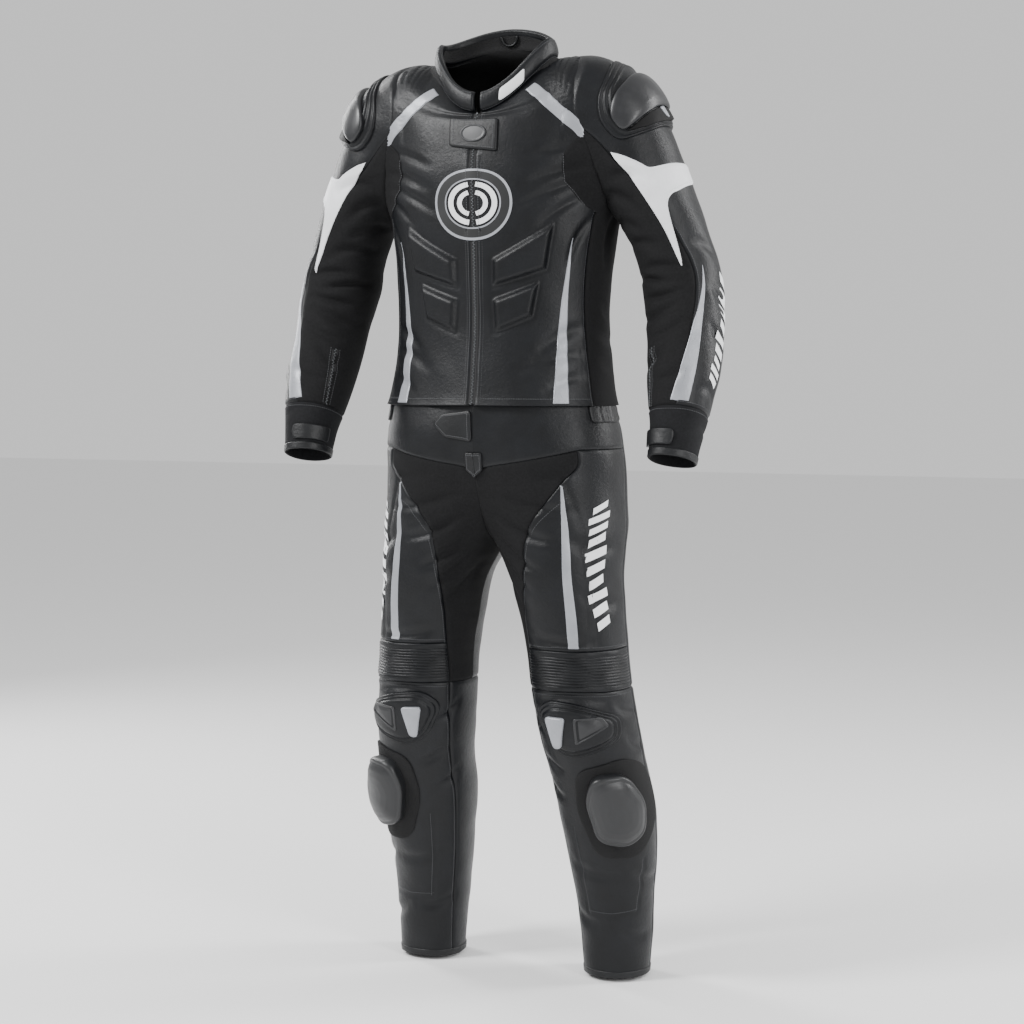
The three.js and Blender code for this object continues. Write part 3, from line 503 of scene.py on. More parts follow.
def blended(points, normal, distance):
    """Moves points near the neighbouring surface outwards, so that the two meet in a hollow curve."""
    mirrored = np.where(points[..., :1] < 0, -1.0, 1.0) * [1, 0, 0] + [0, 1, 1]
    there = points * mirrored
    near = np.zeros(points.shape[:-1])
    high = points[..., 2] > LOWEST_MEETING
    near[high] = np.maximum(FILLET - np.abs(distance(there[high])), 0)
    active = near > 0
    moved = points.copy()
    if active.any():
        towards = unit(normal[active] * mirrored[active] + gradient(distance, there[active]))
        moved[active] += towards * mirrored[active] * (near[active] ** 2 / (4 * FILLET))[:, None]
    return moved


jacket = Surface(body_point(JACKET_SECTIONS), 2.7, neighbour=distance_to_sleeve)
collar = Surface(body_point(COLLAR_SECTIONS), 1.4)
leg = Surface(leg_point, 1.45, halves=True)
sleeve = Surface(sleeve_point, 1.05, outward=-1, neighbour=distance_to_jacket)


def smooth(share):
    share = np.clip(share, 0, 1)
    return share * share * (3 - 2 * share)


# Forms on the surfaces

def creases(per_degree, rows, strength):
    """Soft troughs with low ridges beside them, along short bowed lines."""
    def form(side, turn, at):
        total = np.zeros(np.shape(turn))
        half = np.where(wrap(turn) < 0, -side, side)
        for own, turn_from, at_from, turn_to, at_to, bow, wide, deep in rows:
            u = wrap(turn - turn_from) * per_degree
            v = at - at_from
            du = wrap(turn_to - turn_from) * per_degree
            dv = at_to - at_from
            length = math.hypot(du, dv)
            along = (u * du + v * dv) / length ** 2
            share = np.clip(along, 0, 1)
            across = (u * dv - v * du) / length - bow * 4 * share * (1 - share)
            past = (along - share) * length
            q = (across ** 2 + past ** 2) / wide ** 2
            fade = np.sin(np.pi * np.clip(share, 0.04, 0.96)) ** 0.6
            total += strength * deep * (1 - 0.5 * q) * np.exp(-q) * fade * (own * half >= 0)
        return total
    return form


def both_halves(form):
    """The same form on the other half of a surface that goes all the way round."""
    return lambda side, turn, at: form(side, np.abs(wrap(turn)), at)


RIPPLES = np.random.default_rng(11)
RIPPLE_WAYS = unit(RIPPLES.normal(size=(9, 3)))
RIPPLE_STARTS = RIPPLES.uniform(0, 2 * np.pi, 9)
RIPPLE_PITCH = RIPPLES.uniform(0.7, 1.5, 9)


def uneven(surface, size, deep):
    """Slow, uneven swells in the leather, from waves that cross each other."""
    def form(side, turn, at):
        points = surface.point(turn, at) * [side, 1, 1]
        waves = np.sin(points @ RIPPLE_WAYS.T * (2 * np.pi * RIPPLE_PITCH / size) + RIPPLE_STARTS)
        return deep * waves.sum(-1) / 3
    return form


def distance_to_line(line, px, py):
    nearest = np.full(np.shape(px), 1e9)
    for (ax, ay), (bx, by) in zip(line, line[1:]):
        ex, ey = bx - ax, by - ay
        share = np.clip(((px - ax) * ex + (py - ay) * ey) / (ex * ex + ey * ey), 0, 1)
        nearest = np.minimum(nearest, np.hypot(px - ax - share * ex, py - ay - share * ey))
    return nearest


def inside(per_degree, outline, turn, at):
    """How far a place lies inside an outline, in millimetres. Outside is negative."""
    px, py = turn * per_degree, at
    corners = [(t * per_degree, a) for t, a in outline]
    closed = corners + corners[:1]
    within = np.zeros(np.shape(px), dtype=bool)
    for (ax, ay), (bx, by) in zip(closed, closed[1:]):
        if ay != by:
            within ^= ((ay > py) != (by > py)) & (px < ax + (py - ay) * (bx - ax) / (by - ay))
    nearest = distance_to_line(closed, px, py)
    return np.where(within, nearest, -nearest)


def pressed_seams(per_degree, lines):
    """Seams inside a panel, pressed a little into the leather."""
    def form(side, turn, at):
        total = np.zeros(np.shape(turn))
        for line in lines:
            flat = [(t * per_degree, a) for t, a in line]
            total -= 2.0 * np.exp(-(distance_to_line(flat, wrap(turn) * per_degree, at) / 2.2) ** 2)
        return total
    return form


def embossed(per_degree, outline, height, bevel):
    """A padded form under the leather, with a soft bevel and a fine trough round it."""
    def form(side, turn, at):
        depth = inside(per_degree, outline, turn, at)
        rim = np.exp(-((depth + 1.5) / 2.2) ** 2)
        return height * smooth((depth + 1) / bevel) - 0.9 * rim
    return form


def hem_flare(low, reach, out):
    return lambda side, turn, at: out * np.exp(-np.maximum(at - low, 0) / reach)


def centre_placket(side, turn, at):
    """The leather turned under on each side of the front zip."""
    x = np.abs(wrap(turn)) * jacket.per_degree * 1.1
    return 1.2 * smooth((9 - x) / 3) * (at < BELOW_NECK_TAB)


def crotch_fold(side, turn, at):
    """Fills the sharp valley between the legs, from the fly down."""
    x = leg.point(turn, at)[..., 0]
    open_below = smooth((at + 716) / 30)
    return 5 * np.maximum(1 - np.abs(x) / 34, 0) ** 2 * open_below


jacket.forms = [
    both_halves(creases(jacket.per_degree, JACKET_CREASES, 1.5)),
    both_halves(embossed(jacket.per_degree, UPPER_ABDOMEN_PAD, 7.5, 9)),
    both_halves(embossed(jacket.per_degree, LOWER_ABDOMEN_PAD, 7.5, 9)),
    uneven(jacket, 190, 1.3),
    uneven(jacket, 62, 0.35),
    hem_flare(HEM_OF_JACKET, 14, 3.0),
    centre_placket,
]
sleeve.forms = [
    creases(sleeve.per_degree, SLEEVE_CREASES, 2.0),
    uneven(sleeve, 120, 1.2),
    uneven(sleeve, 48, 0.45),
]
leg.forms = [
    creases(leg.per_degree, LEG_CREASES, 1.9),
    uneven(leg, 170, 1.4),
    uneven(leg, 58, 0.4),
    crotch_fold,
    pressed_seams(leg.per_degree, [SHIN_SEAM, THIGH_SEAM]),
]
collar.forms = [uneven(collar, 60, 0.4)]


def inseam_turn(at):
    share = np.clip(read(LEG_SECTIONS, "apart", at) / read(LEG_SECTIONS, "wide", at), 0, 1)
    return -np.degrees(np.arcsin(share ** (read(LEG_SECTIONS, "square", at) / 2)))


def yoke_rise(turn, at):
    """The trouser yoke's lower edge climbs from the middle to the side."""
    inseam = inseam_turn(at)
    away = np.minimum(turn - inseam, 180 - inseam - turn) / YOKE_RISE_TURN
    near = smooth(1 - np.abs(at - YOKE_BOTTOM) / YOKE_RISE_REACH)
    return YOKE_RISE * np.clip(away, 0, 1) * near


def line_of(rows, column="turn"):
    return lambda at: read(rows, column, at)


# Materials

class Number:
    """A number in a material, so that shader maths reads as plain expressions."""

    def __init__(self, shader, socket):
        self.shader = shader
        self.socket = socket

    def maths(self, operation, first, second):
        return self.shader.make("ShaderNodeMath", {"operation": operation}, {0: first, 1: second})

    def __add__(self, other):
        return self.maths("ADD", self, other)

    def __mul__(self, other):
        return self.maths("MULTIPLY", self, other)

    __radd__ = __add__
    __rmul__ = __mul__


class Shader:
    """A material under construction, from its name and its plain surface values."""

    def __init__(self, name, colour, roughness, metallic=0.0, **more):
        self.material = bpy.data.materials.new(name)
        self.material.use_nodes = True
        self.tree = self.material.node_tree
        self.surface = self.tree.nodes["Principled BSDF"]
        plain = {"Base Color": (*colour, 1), "Roughness": roughness, "Metallic": metallic, **more}
        for socket, value in plain.items():
            self.surface.inputs[socket].default_value = value
        self.material.diffuse_color = (*colour, 1)

    def make(self, kind, settings=None, sockets=None, output=0):
        """A node of any kind: its settings first, then its sockets as values or links."""
        node = self.tree.nodes.new(kind)
        for name, value in (settings or {}).items():
            if name == "stops":
                self.set_stops(node, value)
            else:
                setattr(node, name, value)
        for key, value in (sockets or {}).items():
            if isinstance(value, Number):
                self.tree.links.new(value.socket, node.inputs[key])
            else:
                node.inputs[key].default_value = value
        return Number(self, node.outputs[output])

    def set_stops(self, node, stops):
        elements = node.color_ramp.elements
        while len(elements) < len(stops):
            elements.new(0.5)
        for element, (place, value) in zip(elements, stops):
            element.position = place
            element.color = (value, value, value, 1)

    def place(self):
        return self.make("ShaderNodeTexCoord", output=3)

    def noise(self, scale, detail=3.0, roughness=0.55):
        sockets = {"Vector": self.place(), "Scale": scale, "Detail": detail, "Roughness": roughness}
        return self.make("ShaderNodeTexNoise", {}, sockets)

    def cells(self, scale):
        sockets = {"Vector": self.place(), "Scale": scale}
        return self.make("ShaderNodeTexVoronoi", {"feature": "DISTANCE_TO_EDGE"}, sockets)

    def ramp(self, value, *stops):
        return self.make("ShaderNodeValToRGB", {"stops": stops}, {"Fac": value})

    def colour_between(self, share, colour, dark, light):
        """Varies the surface's colour between a darker and a lighter shade of it."""
        first, second = (tuple(channel * factor for channel in colour) for factor in (dark, light))
        self.connect("Base Color", self.mix(share, first, second))

    def mix(self, share, first, second):
        """A colour between two others. Sockets 6 and 7, and output 2, are the node's colour ones."""
        sockets = {0: share, 6: (*first, 1), 7: (*second, 1)}
        return self.make("ShaderNodeMix", {"data_type": "RGBA"}, sockets, output=2)

    def bump(self, height, distance, strength=1.0, below=None):
        sockets = {"Height": height, "Distance": distance, "Strength": strength}
        if below is not None:
            sockets["Normal"] = below
        return self.make("ShaderNodeBump", {}, sockets)

    def connect(self, socket, value):
        self.tree.links.new(value.socket, self.surface.inputs[socket])


def leather(name, colour, roughness, grain=0.00022, contrast=0.25, **more):
    """Coated cowhide: fine pebbled grain, soft mottling and drier high spots."""
    shader = Shader(name, colour, roughness, **more)
    mottling = shader.ramp(shader.noise(26, 4), (0.35, 0), (0.68, 1))
    shader.colour_between(mottling, colour, 1 - contrast, 1 + contrast)
    shader.connect("Roughness", roughness - 0.06 + shader.noise(90, 3) * 0.14)
    pebbles = shader.ramp(shader.cells(620), (0.0, 0), (0.22, 1))
    fine = shader.bump(pebbles, grain * 0.55, 0.5)
    shader.connect("Normal", shader.bump(shader.noise(210, 4), grain * 3.2, 0.6, fine))
    return shader.material


def ribbed_cloth(name, colour, pitch, direction, depth, **more):
    """Stretch cloth with fine ribs."""
    shader = Shader(name, colour, 0.86, **more)
    sockets = {"Vector": shader.place(), "Scale": 1 / (pitch * 20), "Distortion": 0.6, "Detail": 1.5}
    ribs = shader.make("ShaderNodeTexWave", {"bands_direction": direction}, sockets, output=1)
    lint = shader.ramp(shader.noise(340, 4), (0.3, 0), (0.75, 1))
    shader.colour_between(lint, colour, 0.7, 1.5)
    rough = shader.bump(shader.noise(620, 3), 0.0003, 0.5)
    shader.connect("Normal", shader.bump(ribs, depth, 0.7, rough))
    return shader.material


def moulded(name, colour, roughness, **more):
    """Moulded plastic with a fine texture and light scuffs."""
    shader = Shader(name, colour, roughness, **more)
    scuffs = shader.ramp(shader.noise(48, 6, 0.7), (0.45, 0), (0.8, 1))
    shader.colour_between(scuffs, colour, 1, 1.5)
    shader.connect("Roughness", roughness + scuffs * 0.16)
    shader.connect("Normal", shader.bump(shader.noise(900, 2), 0.0001, 0.5))
    return shader.material


def pile(name, colour):
    """The looped pile that the sliders cling to, with painted light on its loop tops and painted shade in the
    hollows between them.
    """
    shader = Shader(name, colour, 0.95)
    loop_relief_and_painted_shade = shader.noise(760, 3, 0.7)
    # Painted light and shade: the colour follows the loop relief, lighter on the raised tops and darker in
    # the hollows.
    shader.colour_between(loop_relief_and_painted_shade, colour, 0.4, 1.9)
    shader.connect("Normal", shader.bump(loop_relief_and_painted_shade, 0.0011, 0.9))
    return shader.material


def mesh_lining(name, colour):
    """Open mesh lining, as dark holes in knitted netting: painted shade in the holes and painted light on the
    raised strands.
    """
    shader = Shader(name, colour, 0.9)
    net_relief_and_painted_shade = shader.ramp(shader.cells(420), (0.12, 1), (0.3, 0))
    # Painted shade and light: the holes are darkened and the raised strands lightened, following the relief
    # of the mesh.
    shader.colour_between(net_relief_and_painted_shade, colour, 0.35, 1.5)
    shader.connect("Normal", shader.bump(net_relief_and_painted_shade, 0.0005, 0.8))
    return shader.material


def plain(name, colour, roughness, metallic=0.0, speckle=0.12):
    """A small part's finish, with a little unevenness in its colour and gloss."""
    shader = Shader(name, colour, roughness, metallic)
    spots = shader.noise(130, 4)
    shader.colour_between(spots, colour, 1 - speckle, 1 + speckle)
    shader.connect("Roughness", roughness - 0.05 + spots * 0.1)
    shader.connect("Normal", shader.bump(shader.noise(800, 2), 0.00008, 0.4))
    return shader.material


MATT = {"Specular IOR Level": 0.2}
BLACK_LEATHER = leather("black_leather", (0.0036, 0.0041, 0.0053), 0.4, **{"Specular IOR Level": 0.27})
TRIM_LEATHER = leather("trim_leather", (0.0045, 0.005, 0.006), 0.42, **{"Specular IOR Level": 0.34})
WHITE_LEATHER = leather("white_leather", (0.74, 0.75, 0.77), 0.5, contrast=0.05)
SILVER_LEATHER = leather("silver_leather", (0.30, 0.31, 0.335), 0.4, contrast=0.1, metallic=0.3)
STRETCH_CLOTH = ribbed_cloth("stretch_cloth", (0.0055, 0.0055, 0.006), 0.0032, "Z", 0.0004, **MATT)
CUFF_CLOTH = ribbed_cloth("cuff_cloth", (0.0068, 0.007, 0.008), 0.0026, "Z", 0.0004, **MATT)
SLIDER_PLASTIC = moulded("slider_plastic", (0.0095, 0.010, 0.0112), 0.38)
ARMOUR_PLASTIC = moulded("armour_plastic", (0.0095, 0.01, 0.0115), 0.36)
VENT_PLASTIC = moulded("vent_plastic", (0.002, 0.002, 0.0022), 0.6, **MATT)
LOOP_PILE = pile("loop_pile", (0.0026, 0.0026, 0.003))
LINING = mesh_lining("mesh_lining", (0.006, 0.006, 0.0065))
THREAD = plain("thread", (0.055, 0.057, 0.062), 0.6)
ZIP_TAPE = plain("zip_tape", (0.010, 0.010, 0.011), 0.85)
ZIP_METAL = plain("zip_metal", (0.10, 0.105, 0.11), 0.35, 0.85)
PRINT_WHITE = plain("white_print", (0.78, 0.79, 0.80), 0.5, speckle=0.03)
PRINT_BLACK = plain("black_print", (0.006, 0.0065, 0.007), 0.5)
BADGE = plain("rubber_badge", (0.02, 0.021, 0.023), 0.4)


# Meshes

def named(name, word):
    """The name of a piece or node with its side. One in the middle has none."""
    return f"{name}_{word}" if word else name


def make_object(name, points, faces, material, flip=False):
    """A piece from its points in metres and its faces, with its finish in its one material slot."""
    mesh = bpy.data.meshes.new(name)
    faces = np.asarray(faces)
    if flip:
        faces = faces[:, ::-1]
    mesh.from_pydata(np.asarray(points).reshape(-1, 3).tolist(), [], faces.tolist())
    mesh.validate()
    mesh.shade_smooth()
    mesh.materials.append(material)
    piece = bpy.data.objects.new(name, mesh)
    bpy.context.scene.collection.objects.link(piece)
    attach(piece, "root")
    return piece


def grid_faces(rows, columns, closed=False):
    r, c = np.meshgrid(np.arange(rows - 1), np.arange(columns if closed else columns - 1), indexing="ij")
    r, c = r.ravel(), c.ravel()
    following = (c + 1) % columns
    return np.stack([r * columns + c, r * columns + following, (r + 1) * columns + following,
                     (r + 1) * columns + c], 1)


def graded(length, spacing):
    """Shares from 0 to 1, closer together near both ends, where the seams lie."""
    near = np.array([0, 1.2, 2.6, 4.5, 7.5]) / max(length, 24)
    count = max(round((length - 15) / spacing), 2)
    middle = np.linspace(near[-1], 1 - near[-1], count + 1)
    return np.concatenate([near[:-1], middle, (1 - near[:-1])[::-1]])


def finer(rows, times):
    """The columns of some rows, with times as many steps along them."""
    steps = np.linspace(0, len(rows) - 1, times * len(rows))
    return [np.interp(steps, np.arange(len(rows)), column) for column in np.array(rows, dtype=float).T]


def distance_along(points):
    """How far each point lies from the first, along the line through them."""
    return np.concatenate([[0], np.cumsum(np.linalg.norm(np.diff(points, axis=0), axis=1))])


def lengths(points, axis):
    return np.linalg.norm(np.diff(points, axis=axis), axis=-1).sum(axis)


def area_of(points, faces):
    a, b, c, d = (points.reshape(-1, 3)[faces[:, i]] for i in range(4))
    return float(np.linalg.norm(np.cross(c - a, d - b), axis=-1).sum() / 2)


def declare_sheet(width, length, area):
    """Works out the area of a panel's cut in metres, the smooth piece of leather or cloth before its folds,
    held between a least share of its width times its length and the whole. Nothing is done with it.
    """
    area = min(max(area, LEAST_AREA_SHARE * width * length), width * length)


def declare_grid(smooth_points, faces):
    width = float(lengths(smooth_points, 1).max())
    length = float(lengths(smooth_points, 0).max())
    declare_sheet(width, length, area_of(smooth_points, faces))


def turns_of(edge, at):
    """The turns along a panel's edge, which is either one turn or a line that gives them."""
    return edge(at) if callable(edge) else np.full(np.shape(at), float(edge))


def panel(name, surface, word, low, high, start, end, material, replaces=(), spacing=5.0, lift=0.0,
          seams=("low", "high", "start", "end"), relief=None, shift=None, keep=None,
          thickness=LEATHER_THICKNESS, laid=False):
    """A cut piece of leather or cloth on a surface, sunk a little along its seams.

    low and high are its two ends, and start and end its edges, as turns or as lines that give them.
    A laid piece has a raised edge in place of a sunk seam. keep says which of its points to keep.
    """
    side = SIDES.get(word, LEFT)
    # Rows are spaced by the longest way up the panel, because its surface tilts and bends.
    coarse = np.linspace(low, high, 200)
    first, last = turns_of(start, coarse), turns_of(end, coarse)
    guide = surface.point(first[:, None] + (last - first)[:, None] * np.linspace(0, 1, 12), coarse[:, None])
    steps = np.linalg.norm(np.diff(guide, axis=0), axis=-1).max(axis=1)
    climbed = np.concatenate([[0], np.cumsum(steps)])
    height = climbed[-1]
    climb = height * graded(height, spacing)
    rows = np.interp(climb, climbed, coarse)
    row_width = np.interp(climb, climbed, lengths(guide, 1))
    shares = graded(row_width.mean(), spacing)
    first, last = turns_of(start, rows)[:, None], turns_of(end, rows)[:, None]
    turn = first + (last - first) * shares
    at = rows[:, None] + 0 * turn
    edges = {
        "start": shares * row_width[:, None],
        "end": (1 - shares) * row_width[:, None],
        "low": climb[:, None] + 0 * turn,
        "high": (height - climb)[:, None] + 0 * turn,
    }
    away = np.full(turn.shape, 1e3)
    for edge in seams:
        away = np.minimum(away, edges[edge])
    if shift is not None:
        at = at + shift(turn, at)
    if laid:
        raised = lift * smooth(away / LAID_EDGE_WIDTH) - LAID_EDGE_DEPTH * (away < 0.5)
    else:
        swell = SWELL_HEIGHT * (away / SWELL_FROM_SEAM) * np.exp(1 - away / SWELL_FROM_SEAM)
        raised = lift - SEAM_DEPTH * np.exp(-(away / SEAM_WIDTH) ** 2) + swell
    if relief is not None:
        raised = raised + relief(turn, at) * smooth(away / 5)
    points = surface.place(side, turn, at, raised)
    smooth_points = surface.place(side, turn, at, plain=True)
    faces = grid_faces(*turn.shape)
    if keep is not None:
        kept = keep(points.reshape(-1, 3) / MM * [side, 1, 1])
        faces = faces[kept[faces].any(axis=1)]
    piece = make_object(named(name, word), points, faces, material, side * surface.outward < 0)
    if thickness:
        shell = piece.modifiers.new("thickness", "SOLIDIFY")
        shell.thickness = thickness * MM
        shell.offset = -1
    declare_grid(smooth_points, faces)
    if replaces:
        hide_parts(*(named(node, word) for node in replaces))


def stripe(name, surface, word, edges, lift=0.9, **more):
    """A thin silver strip laid on a surface, between the two edges that its table gives."""
    ends = edges[edges["key"]]
    panel(f"{name}_leather", surface, word, ends[0], ends[-1], line_of(edges, "start"),
          line_of(edges, "end"), SILVER_LEATHER, [name], lift=lift, laid=True, thickness=0, **more)


def binding(name, surface, word, low, **more):
    """A band of leather bound round an open edge."""
    panel(name, surface, word, low, low + BINDING_HEIGHT, -180, 180, TRIM_LEATHER, laid=True,
          seams=("low", "high"), **more)


def rounded_outline(corners, per_degree, rounding, spacing):
    """An outline with its corners rounded by rounding millimetres, as close even points."""
    flat = np.array([(turn * per_degree, at) for turn, at in corners], dtype=float)
    path = []
    for i, corner in enumerate(flat):
        before, after = flat[i - 1], flat[(i + 1) % len(flat)]
        reach_before = min(rounding, 0.45 * np.linalg.norm(before - corner))
        reach_after = min(rounding, 0.45 * np.linalg.norm(after - corner))
        start = corner + (before - corner) / np.linalg.norm(before - corner) * reach_before
        end = corner + (after - corner) / np.linalg.norm(after - corner) * reach_after
        for t in np.linspace(0, 1, 8):
            path.append((1 - t) ** 2 * start + 2 * t * (1 - t) * corner + t * t * end)
    path = np.array(path + path[:1])
    distance = distance_along(path)
    even = np.linspace(0, distance[-1], max(int(distance[-1] / spacing), 16), endpoint=False)
    points = np.stack([np.interp(even, distance, path[:, k]) for k in range(2)], 1)
    return points / [per_degree, 1]


def patch(name, surface, word, corners, profile, material, replaces=(), rounding=8.0, spacing=2.2,
          centre=None, sheet=False, relief=None):
    """A piece on a surface, from rings that shrink from its outline.

    profile lists each ring's share of the outline's size and its lift in millimetres.
    """
    side = SIDES.get(word, LEFT)
    outline = rounded_outline(corners, surface.per_degree, rounding, spacing)
    middle = np.array(centre) if centre is not None else outline.mean(axis=0)
    radius = np.linalg.norm((outline - middle) * [surface.per_degree, 1], axis=1).mean()
    scales, lifts = [profile[0][0]], [profile[0][1]]
    for (scale_a, lift_a), (scale_b, lift_b) in zip(profile, profile[1:]):
        steps = max(round(max(abs(scale_b - scale_a) * radius, abs(lift_b - lift_a)) / spacing), 1)
        for t in np.linspace(0, 1, steps + 1)[1:]:
            scales.append(scale_a + (scale_b - scale_a) * t)
            lifts.append(lift_a + (lift_b - lift_a) * t)
    scales, lifts = np.array(scales), np.array(lifts)
    rings = middle + (outline - middle) * scales[:, None, None]
    lift = lifts[:, None] + 0 * rings[..., 0]
    if relief is not None:
        lift = lift + relief(rings[..., 0], rings[..., 1])
    points = surface.place(side, rings[..., 0], rings[..., 1], lift)
    faces = grid_faces(len(scales), len(outline), closed=True)
    piece = make_object(named(name, word), points, faces, material, side * surface.outward > 0)
    if sheet:
        width, length = np.ptp(outline, axis=0) * [surface.per_degree, 1] * MM
        smooth_points = surface.place(side, rings[..., 0], rings[..., 1], plain=True)
        declare_sheet(float(width), float(length), area_of(smooth_points, faces))
    if replaces:
        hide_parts(*(named(node, word) for node in replaces))


def tube(name, points, radius, material, sides=8):
    """A round cord through points in metres, closed at both ends."""
    points = np.asarray(points, dtype=float)
    path = unit(np.concatenate([points[1:], points[-1:]]) - np.concatenate([points[:1], points[:-1]]))
    across = unit(np.cross(path, np.array([0.17, 0.31, 0.93])))
    over = np.cross(path, across)
    angles = np.linspace(0, 2 * np.pi, sides, endpoint=False)
    round_it = across[:, None] * np.cos(angles)[:, None] + over[:, None] * np.sin(angles)[:, None]
    rings = points[:, None] + radius * MM * round_it
    rings = np.concatenate([points[:1, None] + 0 * rings[:1], rings, points[-1:, None] + 0 * rings[:1]])
    make_object(name, rings, grid_faces(len(rings), sides, closed=True), material)


def line_points(surface, side, path, lift, spacing):
    """Even points along a line of turns and heights, on the folded leather.

    With them come the directions along the line, across it and out of the surface.
    """
    turn, at = finer(path, 40)
    distance = distance_along(surface.place(side, turn, at, lift)) / MM
    even = np.arange(0, distance[-1], spacing)
    turn, at = np.interp(even, distance, turn), np.interp(even, distance, at)
    places = surface.place(side, turn, at, lift)
    normals = surface.normal(turn, at) * [side, 1, 1]
    along = unit(np.gradient(places, axis=0))
    return places, along, unit(np.cross(along, normals)), normals


def stitches(name, lines, material=THREAD, pitch=STITCH_PITCH):
    """Rows of sewn stitches, each a small flattened bar on the leather."""
    half, thick = STITCH_LENGTH / 2 * MM, STITCH_WIDTH / 2 * MM
    points, faces = [], []
    for surface, side, path, lift in lines:
        for place, way, beside, out in zip(*line_points(surface, side, path, lift, pitch)):
            start = len(points)
            for end in (-half, half):
                points += [
                    place + way * end - out * 0.4 * MM,
                    place + way * end * 0.72 + beside * thick,
                    place + way * end * 0.72 - beside * thick,
                    place + way * end * 0.6 + out * 0.45 * MM,
                ]
            faces += [[start + corner for corner in face] for face in STITCH_FACES]
    make_object(name, points, faces, material)


def parallel(rows, offset, per_degree, low, high):
    """A line beside a seam, offset millimetres towards greater turns."""
    return [(float(read(rows, "turn", at)) + offset / per_degree, at) for at in np.linspace(low, high, 40)]


def level(at, turn_from, turn_to, count=30):
    return [(turn, at) for turn in np.linspace(turn_from, turn_to, count)]


# A zip tooth: the corners of its foot and its narrower top, across, along and out.
TOOTH = [(x * size, y * size, top) for top, size in ((0, 1), (1, 0.7)) for x, y in
         ((-1, -1), (1, -1), (1, 1), (-1, 1))]
TOOTH_FACES = [(4, 5, 6, 7), (0, 1, 5, 4), (1, 2, 6, 5), (2, 3, 7, 6), (3, 0, 4, 7)]


def zip_fastener(name, surface, side, path, lift, replaces=()):
    """A zip: two rows of small teeth on their tape."""
    places, along, across, normals = line_points(surface, side, path, lift, ZIP_PITCH)
    points, faces = [], []
    for i, (place, way, beside, out) in enumerate(zip(places, along, across, normals)):
        shift = 0.75 if i % 2 else -0.75
        faces += [[len(points) + corner for corner in face] for face in TOOTH_FACES]
        for u, v, w in TOOTH:
            points.append(place + (beside * (u * 1.3 + shift) + way * v * 0.85 + out * w * 1.1) * MM)
    teeth = make_object(f"{name}_teeth", points, faces, ZIP_METAL)
    tape_points = np.stack([places + (across * offset - normals * 0.5) * MM for offset in (-5, -2, 2, 5)], 1)
    make_object(f"{name}_tape", tape_points, grid_faces(len(places), 4), ZIP_TAPE)
    if replaces:
        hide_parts(*replaces)


# Jacket

def towards_shoulder_seam(rows, others):
    """Above the side panel the front and the back meet in one seam."""
    def turn(at):
        own, other = read(rows, "turn", at), read(others, "turn", at)
        return own + (other - own) / 2 * smooth((at - SIDE_PANEL_TOP + 8) / 12)
    return turn


def outside_jacket(points):
    return distance_to_jacket(points) > -SLEEVE_KEPT_INSIDE


def outside_sleeve(points):
    mirrored = np.abs(points[:, :1]) * [1, 0, 0] + points * [0, 1, 1]
    return (distance_to_sleeve(mirrored) > -JACKET_KEPT_INSIDE) | (mirrored[:, 0] < INSIDE_SLEEVE_HEAD)


def zip_edge(at):
    share = ZIP_HALF_WIDTH / read(JACKET_SECTIONS, "wide", at)
    return np.degrees(np.arcsin(share ** (read(JACKET_SECTIONS, "square", at) / 2)))


def make_jacket():
    side_seam, back_seam = line_of(SIDE_SEAM), line_of(BACK_SEAM)
    front_end = towards_shoulder_seam(SIDE_SEAM, BACK_SEAM)
    back_start = towards_shoulder_seam(BACK_SEAM, SIDE_SEAM)
    sewn = {"seams": ("start", "end"), "keep": outside_sleeve}
    for word in SIDES:
        panel("jacket_front_shell", jacket, word, HEM_OF_JACKET, NECK_OF_JACKET, zip_edge, front_end,
              BLACK_LEATHER, ["jacket_front", "abdomen_pad_upper", "abdomen_pad_lower"], spacing=2.8, **sewn)
        panel("side_stretch", jacket, word, HEM_OF_JACKET, SIDE_PANEL_TOP, side_seam, back_seam,
              STRETCH_CLOTH, ["side_panel"], **sewn)
        stripe("side_stripe", jacket, word, SIDE_STRIPE)
    panel("jacket_back_shell", jacket, MIDDLE, HEM_OF_JACKET, NECK_OF_JACKET, back_start,
          lambda at: 360 - back_start(at), BLACK_LEATHER, ["jacket_back"], **sewn)


def make_front_zip():
    middle = [(0, at) for at in np.linspace(HEM_OF_JACKET + 2, NECK_OF_JACKET - 1, 40)]
    zip_fastener("front_zip", jacket, LEFT, middle, -0.6, ["centre_zip"])
    lines = []
    for side in SIDES.values():
        for distance in (6.5, 10):
            beside_zip = [(distance / FRONT_PER_DEGREE, at) for at in np.linspace(-500, 0, 40)]
            lines.append((jacket, side, beside_zip, 0.3))
    stitches("front_zip_stitching", lines)


def make_shoulder_trim():
    for word in SIDES:
        stripe("shoulder_stripe", jacket, word, SHOULDER_STRIPE, lift=1.4, spacing=2.5, keep=outside_sleeve)
        patch("armhole_stretch", jacket, word, GUSSET, [(1, -0.6), (0.99, 1.2), (0, 1.2)], STRETCH_CLOTH,
              ["armhole_gusset"], rounding=30, spacing=4, sheet=True)


